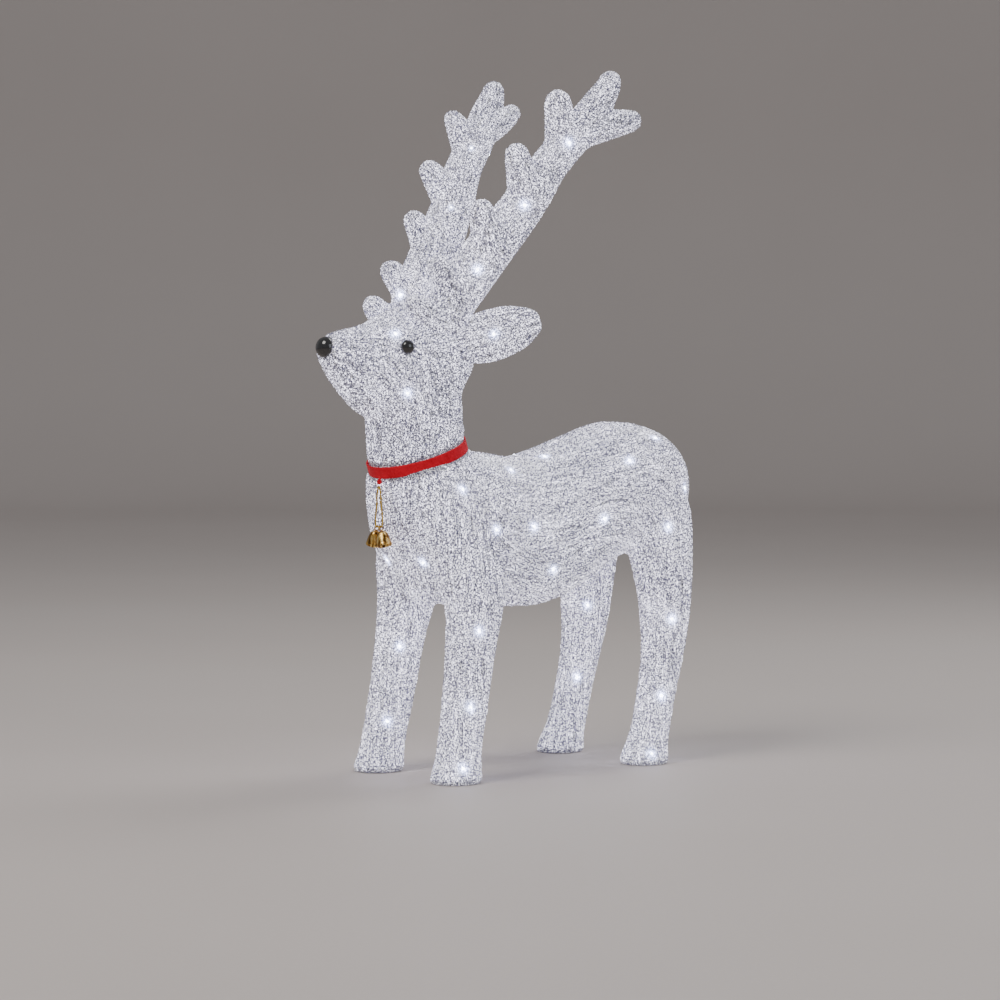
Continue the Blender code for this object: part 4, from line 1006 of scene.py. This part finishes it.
def pipe(bm, path, radius, sides, closed=False, squash=1.0):
    """A round tube along mm points; radius may be a list."""
    count = len(path)
    side = None
    loops = []
    for k in range(count):
        if closed:
            ahead = (path[(k + 1) % count] - path[k - 1]).normalized()
        else:
            ahead = (path[min(k + 1, count - 1)] - path[max(k - 1, 0)]).normalized()
        side = side or ahead.orthogonal().normalized()
        side = (side - ahead * side.dot(ahead)).normalized()
        other = ahead.cross(side)
        r = radius[k] if isinstance(radius, list) else radius
        loops.append([bm.verts.new(path[k] + (side * math.cos(t) + other * math.sin(t) * squash) * r) for t in [2 * math.pi * j / sides for j in range(sides)]])
    for k in range(count if closed else count - 1):
        first, second = loops[k], loops[(k + 1) % count]
        for j in range(sides):
            m = (j + 1) % sides
            bm.faces.new((first[j], first[m], second[m], second[j]))
    if not closed:
        bm.faces.new(loops[0][::-1])
        bm.faces.new(loops[-1])


# the knot: the cord's ends and the ribbon are tied with a small tight overhand knot
bm = bmesh.new()
knot_path = []
for k in range(60):
    t = 2 * math.pi * k / 60
    knot_path.append(KNOT + Vector(((math.sin(t) + 2 * math.sin(2 * t)) * 0.60, (math.cos(t) - 2 * math.cos(2 * t)) * 0.42, -math.sin(3 * t) * 1.05 - 0.1)))
pipe(bm, knot_path, 0.88, 12, closed=True)
bmesh.ops.create_uvsphere(bm, u_segments=20, v_segments=12, radius=1.0, matrix=Matrix.Translation(KNOT) @ Matrix.Diagonal((1.5, 1.3, 2.3, 1)))
# the short red tab that joins the knot to the ribbon's edge
pipe(bm, [KNOT + Vector((0, 1.6, 3.9)), KNOT + Vector((0, 0.9, 2.6)), KNOT + Vector((0, 0.2, 1.2))], [1.2, 1.1, 1.3], 12)
knot = put("velvet_knot", from_bmesh("velvet_knot", bm), VELVET)
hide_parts("collar_knot")

# ---- the cord loop ---------------------------------------------------------------------------

TOP = PIVOT + Vector((0, 0, -2.25))
DROP = 35.5
right = [(0.78, 0.0), (0.95, 0.015), (1.3, 0.05), (1.85, 0.12), (2.35, 0.21), (2.75, 0.30), (3.05, 0.39), (3.4, 0.48), (3.85, 0.57), (4.3, 0.66), (4.7, 0.75), (4.95, 0.83), (5.05, 0.89), (5.05, 0.935)]
line = [Vector((TOP.x + w, TOP.y, TOP.z - DROP * d)) for w, d in right]
bend = 2.5
for step in range(1, 8):
    a = math.radians(90 * step / 7)
    line.append(Vector((TOP.x + 5.05 - bend + bend * math.cos(a), TOP.y, TOP.z - DROP + bend - bend * math.sin(a))))
half_line = line[:]
line += [Vector((2 * TOP.x - p.x, p.y, p.z)) for p in half_line[::-1]]
# even spacing, with a slight waviness front to back
points = np.array(line)
gaps = np.concatenate([[0], np.cumsum(np.linalg.norm(np.diff(points, axis=0), axis=1))])
even = np.linspace(0, gaps[-1], 121)
centre = np.stack([np.interp(even, gaps, points[:, k]) for k in range(3)], 1)
for _ in range(6):
    centre[1:-1] = (centre[:-2] + 2 * centre[1:-1] + centre[2:]) / 4
centre[:, 1] += 0.12 * np.sin(even / 3.1) * np.minimum(1, np.minimum(even, even[-1] - even) / 6)
bm = bmesh.new()
cord_length = float(np.linalg.norm(np.diff(centre, axis=0), axis=1).sum())
dense = np.linspace(0, 1, 301)
along = np.stack([np.interp(dense, np.linspace(0, 1, len(centre)), centre[:, k]) for k in range(3)], 1)
tangent = np.gradient(along, axis=0)
tangent /= np.linalg.norm(tangent, axis=1)[:, None]
front = np.tile(np.array([0.0, 1.0, 0.0]), (len(along), 1))
front -= tangent * (front * tangent).sum(1)[:, None]
front /= np.linalg.norm(front, axis=1)[:, None]
flank = np.cross(tangent, front)
for strand in range(3):
    a = dense * cord_length / 4.4 * 2 * math.pi + strand * 2 * math.pi / 3
    twist = along + 0.40 * (np.cos(a)[:, None] * front + np.sin(a)[:, None] * flank)
    pipe(bm, [Vector(p) for p in twist], 0.44, 8)
cord = put("gold_cord_loop", from_bmesh("gold_cord_loop", bm), CORD, "bell_loop")
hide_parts("bell_cord")
print("cord", cord_length)

# ---- bells -------------------------------------------------------------------------------------

BELL_H, MOUTH = 13.6, 6.9
LOOP_LOW = TOP.z - DROP
for side, word in ((1, "left"), (-1, "right")):
    ring_middle = Vector((side * 3.0, PIVOT.y, LOOP_LOW - 0.7))
    place = Matrix.Translation(ring_middle) @ Matrix.Rotation(-side * math.radians(17.5), 4, "Y") @ Matrix.Translation(Vector((0, 0, -2.45)))
    outer = [(0.0, 0.0), (1.2, -0.05), (2.3, -0.35), (3.2, -0.85), (3.9, -1.55), (4.5, -2.5), (5.0, -3.7), (5.45, -5.2), (5.85, -6.9), (6.2, -8.7), (6.45, -10.4), (6.55, -11.5), (6.75, -11.75), (6.9, -12.2), (MOUTH, -12.9), (MOUTH - 0.1, -BELL_H + 0.1), (MOUTH - 0.3, -BELL_H)]
    inner = [(MOUTH - 0.85, -BELL_H + 0.1), (5.85, -12.2), (5.6, -10.4), (5.3, -9.0), (4.95, -7.3), (4.55, -5.8), (4.1, -4.4), (3.5, -3.3), (2.6, -2.3), (1.5, -1.5), (0.0, -1.2)]
    bm = turned_mesh("bell", outer + inner, 48, place)
    # wire eye through the crown, and the staple inside
    eye_ring = [place @ Vector((0, 2.1 * math.cos(a), 2.45 + 2.1 * math.sin(a))) for a in np.linspace(0, 2 * math.pi, 29)[:-1]]
    pipe(bm, eye_ring, 0.55, 10, closed=True)
    staple = [place @ Vector((1.5 * math.cos(a), 0, -2.4 + 1.5 * math.sin(a))) for a in np.linspace(0, 2 * math.pi, 21)[:-1]]
    pipe(bm, staple, 0.36, 8, closed=True)
    bell = put(f"brass_bell_{word}", from_bmesh(f"brass_bell_{word}", bm), BRASS, f"{word}_bell")
    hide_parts(f"bell_{word}")

    bm = bmesh.new()
    bmesh.ops.create_uvsphere(bm, u_segments=20, v_segments=14, radius=1.9, matrix=place @ Matrix.Translation((0, 0, -10.6)))
    pipe(bm, [place @ Vector((0, 0, z)) for z in (-5.3, -7.0, -8.8, -9.4)], 0.42, 10)
    pipe(bm, [place @ Vector((0, 1.25 * math.cos(a), -4.15 + 1.25 * math.sin(a))) for a in np.linspace(0, 2 * math.pi, 21)[:-1]], 0.33, 8, closed=True)
    clapper = put(f"iron_clapper_{word}", from_bmesh(f"iron_clapper_{word}", bm), IRON, f"{word}_clapper")
    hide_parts(f"clapper_{word}")

# ---- finishes of the CAD pieces that stay -------------------------------------------------------

FINISH = {
    "battery_tray": WHITE_PLASTIC, "battery_door": WHITE_PLASTIC, "door_screw": STEEL, "hinge_pin": STEEL,
    "push_button": RUBBER, "timer_board": BOARD, "neck_sleeve": CLEAR_PLASTIC,
    "cell_1": CELL, "cell_2": CELL, "cell_3": CELL,
    "contact_spring_1": STEEL, "contact_spring_2": STEEL, "contact_spring_3": STEEL,
}
for name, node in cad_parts.items():
    material = FINISH.get(name)
    if material is None and "light_string" in name:
        material = WIRE
    if material is None:
        continue
    for held in node.material_slots:
        held.material = material
    for polygon in node.data.polygons:
        polygon.use_smooth = False

# ---- floor and light -----------------------------------------------------------------------------


def floor_material():
    n = Nodes("floor_paint")
    cloud = n.noise(2.0, 2.0)
    fine = n.noise(260.0, 2.0)
    n.set(colour=n.mix(n.span(cloud, 0.3, 0.7, 0.0, 1.0), (0.600, 0.545, 0.515), (0.615, 0.560, 0.530)), roughness=n.span(fine, 0.3, 0.7, 0.55, 0.65), specular=0.3)
    return n.material


ahead, right_of = -BACK, SIDEWAYS
bm = bmesh.new()
profile = [(-5.0, 0.0), (4.4, 0.0)]
for step in range(1, 13):
    a = math.radians(90 * step / 12)
    profile.append((4.4 + 0.9 * math.sin(a), 0.9 - 0.9 * math.cos(a)))
profile.append((5.3, 5.0))
rows = []
for forward, up in profile:
    rows.append([bm.verts.new(ahead * forward + right_of * s + Vector((0, 0, up - 0.0002))) for s in (-5.0, 5.0)])
for first, second in zip(rows, rows[1:]):
    bm.faces.new((first[0], first[1], second[1], second[0]))
mesh = bpy.data.meshes.new("floor")
bm.to_mesh(mesh)
bm.free()
for polygon in mesh.polygons:
    polygon.use_smooth = True
mesh.materials.append(floor_material())
floor = bpy.data.objects.new("floor", mesh)
scene.collection.objects.link(floor)


def area_light(name, at, size, power, colour):
    data = bpy.data.lights.new(name, "AREA")
    data.shape = "SQUARE"
    data.size = size
    data.energy = power
    data.color = colour
    obj = bpy.data.objects.new(name, data)
    scene.collection.objects.link(obj)
    obj.location = at
    obj.rotation_euler = (Vector((0, 0, 0.3)) - Vector(at)).to_track_quat("-Z", "Y").to_euler()
    return obj


area_light("key", BACK * 1.3 - SIDEWAYS * 1.2 + Vector((0, 0, 2.3)), 1.2, 36.0, (1.0, 0.955, 0.91))
area_light("fill", BACK * 1.6 + SIDEWAYS * 2.0 + Vector((0, 0, 1.1)), 1.6, 14.0, (0.88, 0.91, 1.0))
area_light("rim", -BACK * 1.0 + SIDEWAYS * 0.9 + Vector((0, 0, 1.9)), 0.9, 14.0, (1.0, 1.0, 1.0))

world = scene.world or bpy.data.worlds.new("world")
scene.world = world
world.use_nodes = True
world.node_tree.nodes["Background"].inputs["Color"].default_value = (0.90, 0.92, 0.96, 1.0)
world.node_tree.nodes["Background"].inputs["Strength"].default_value = 0.36
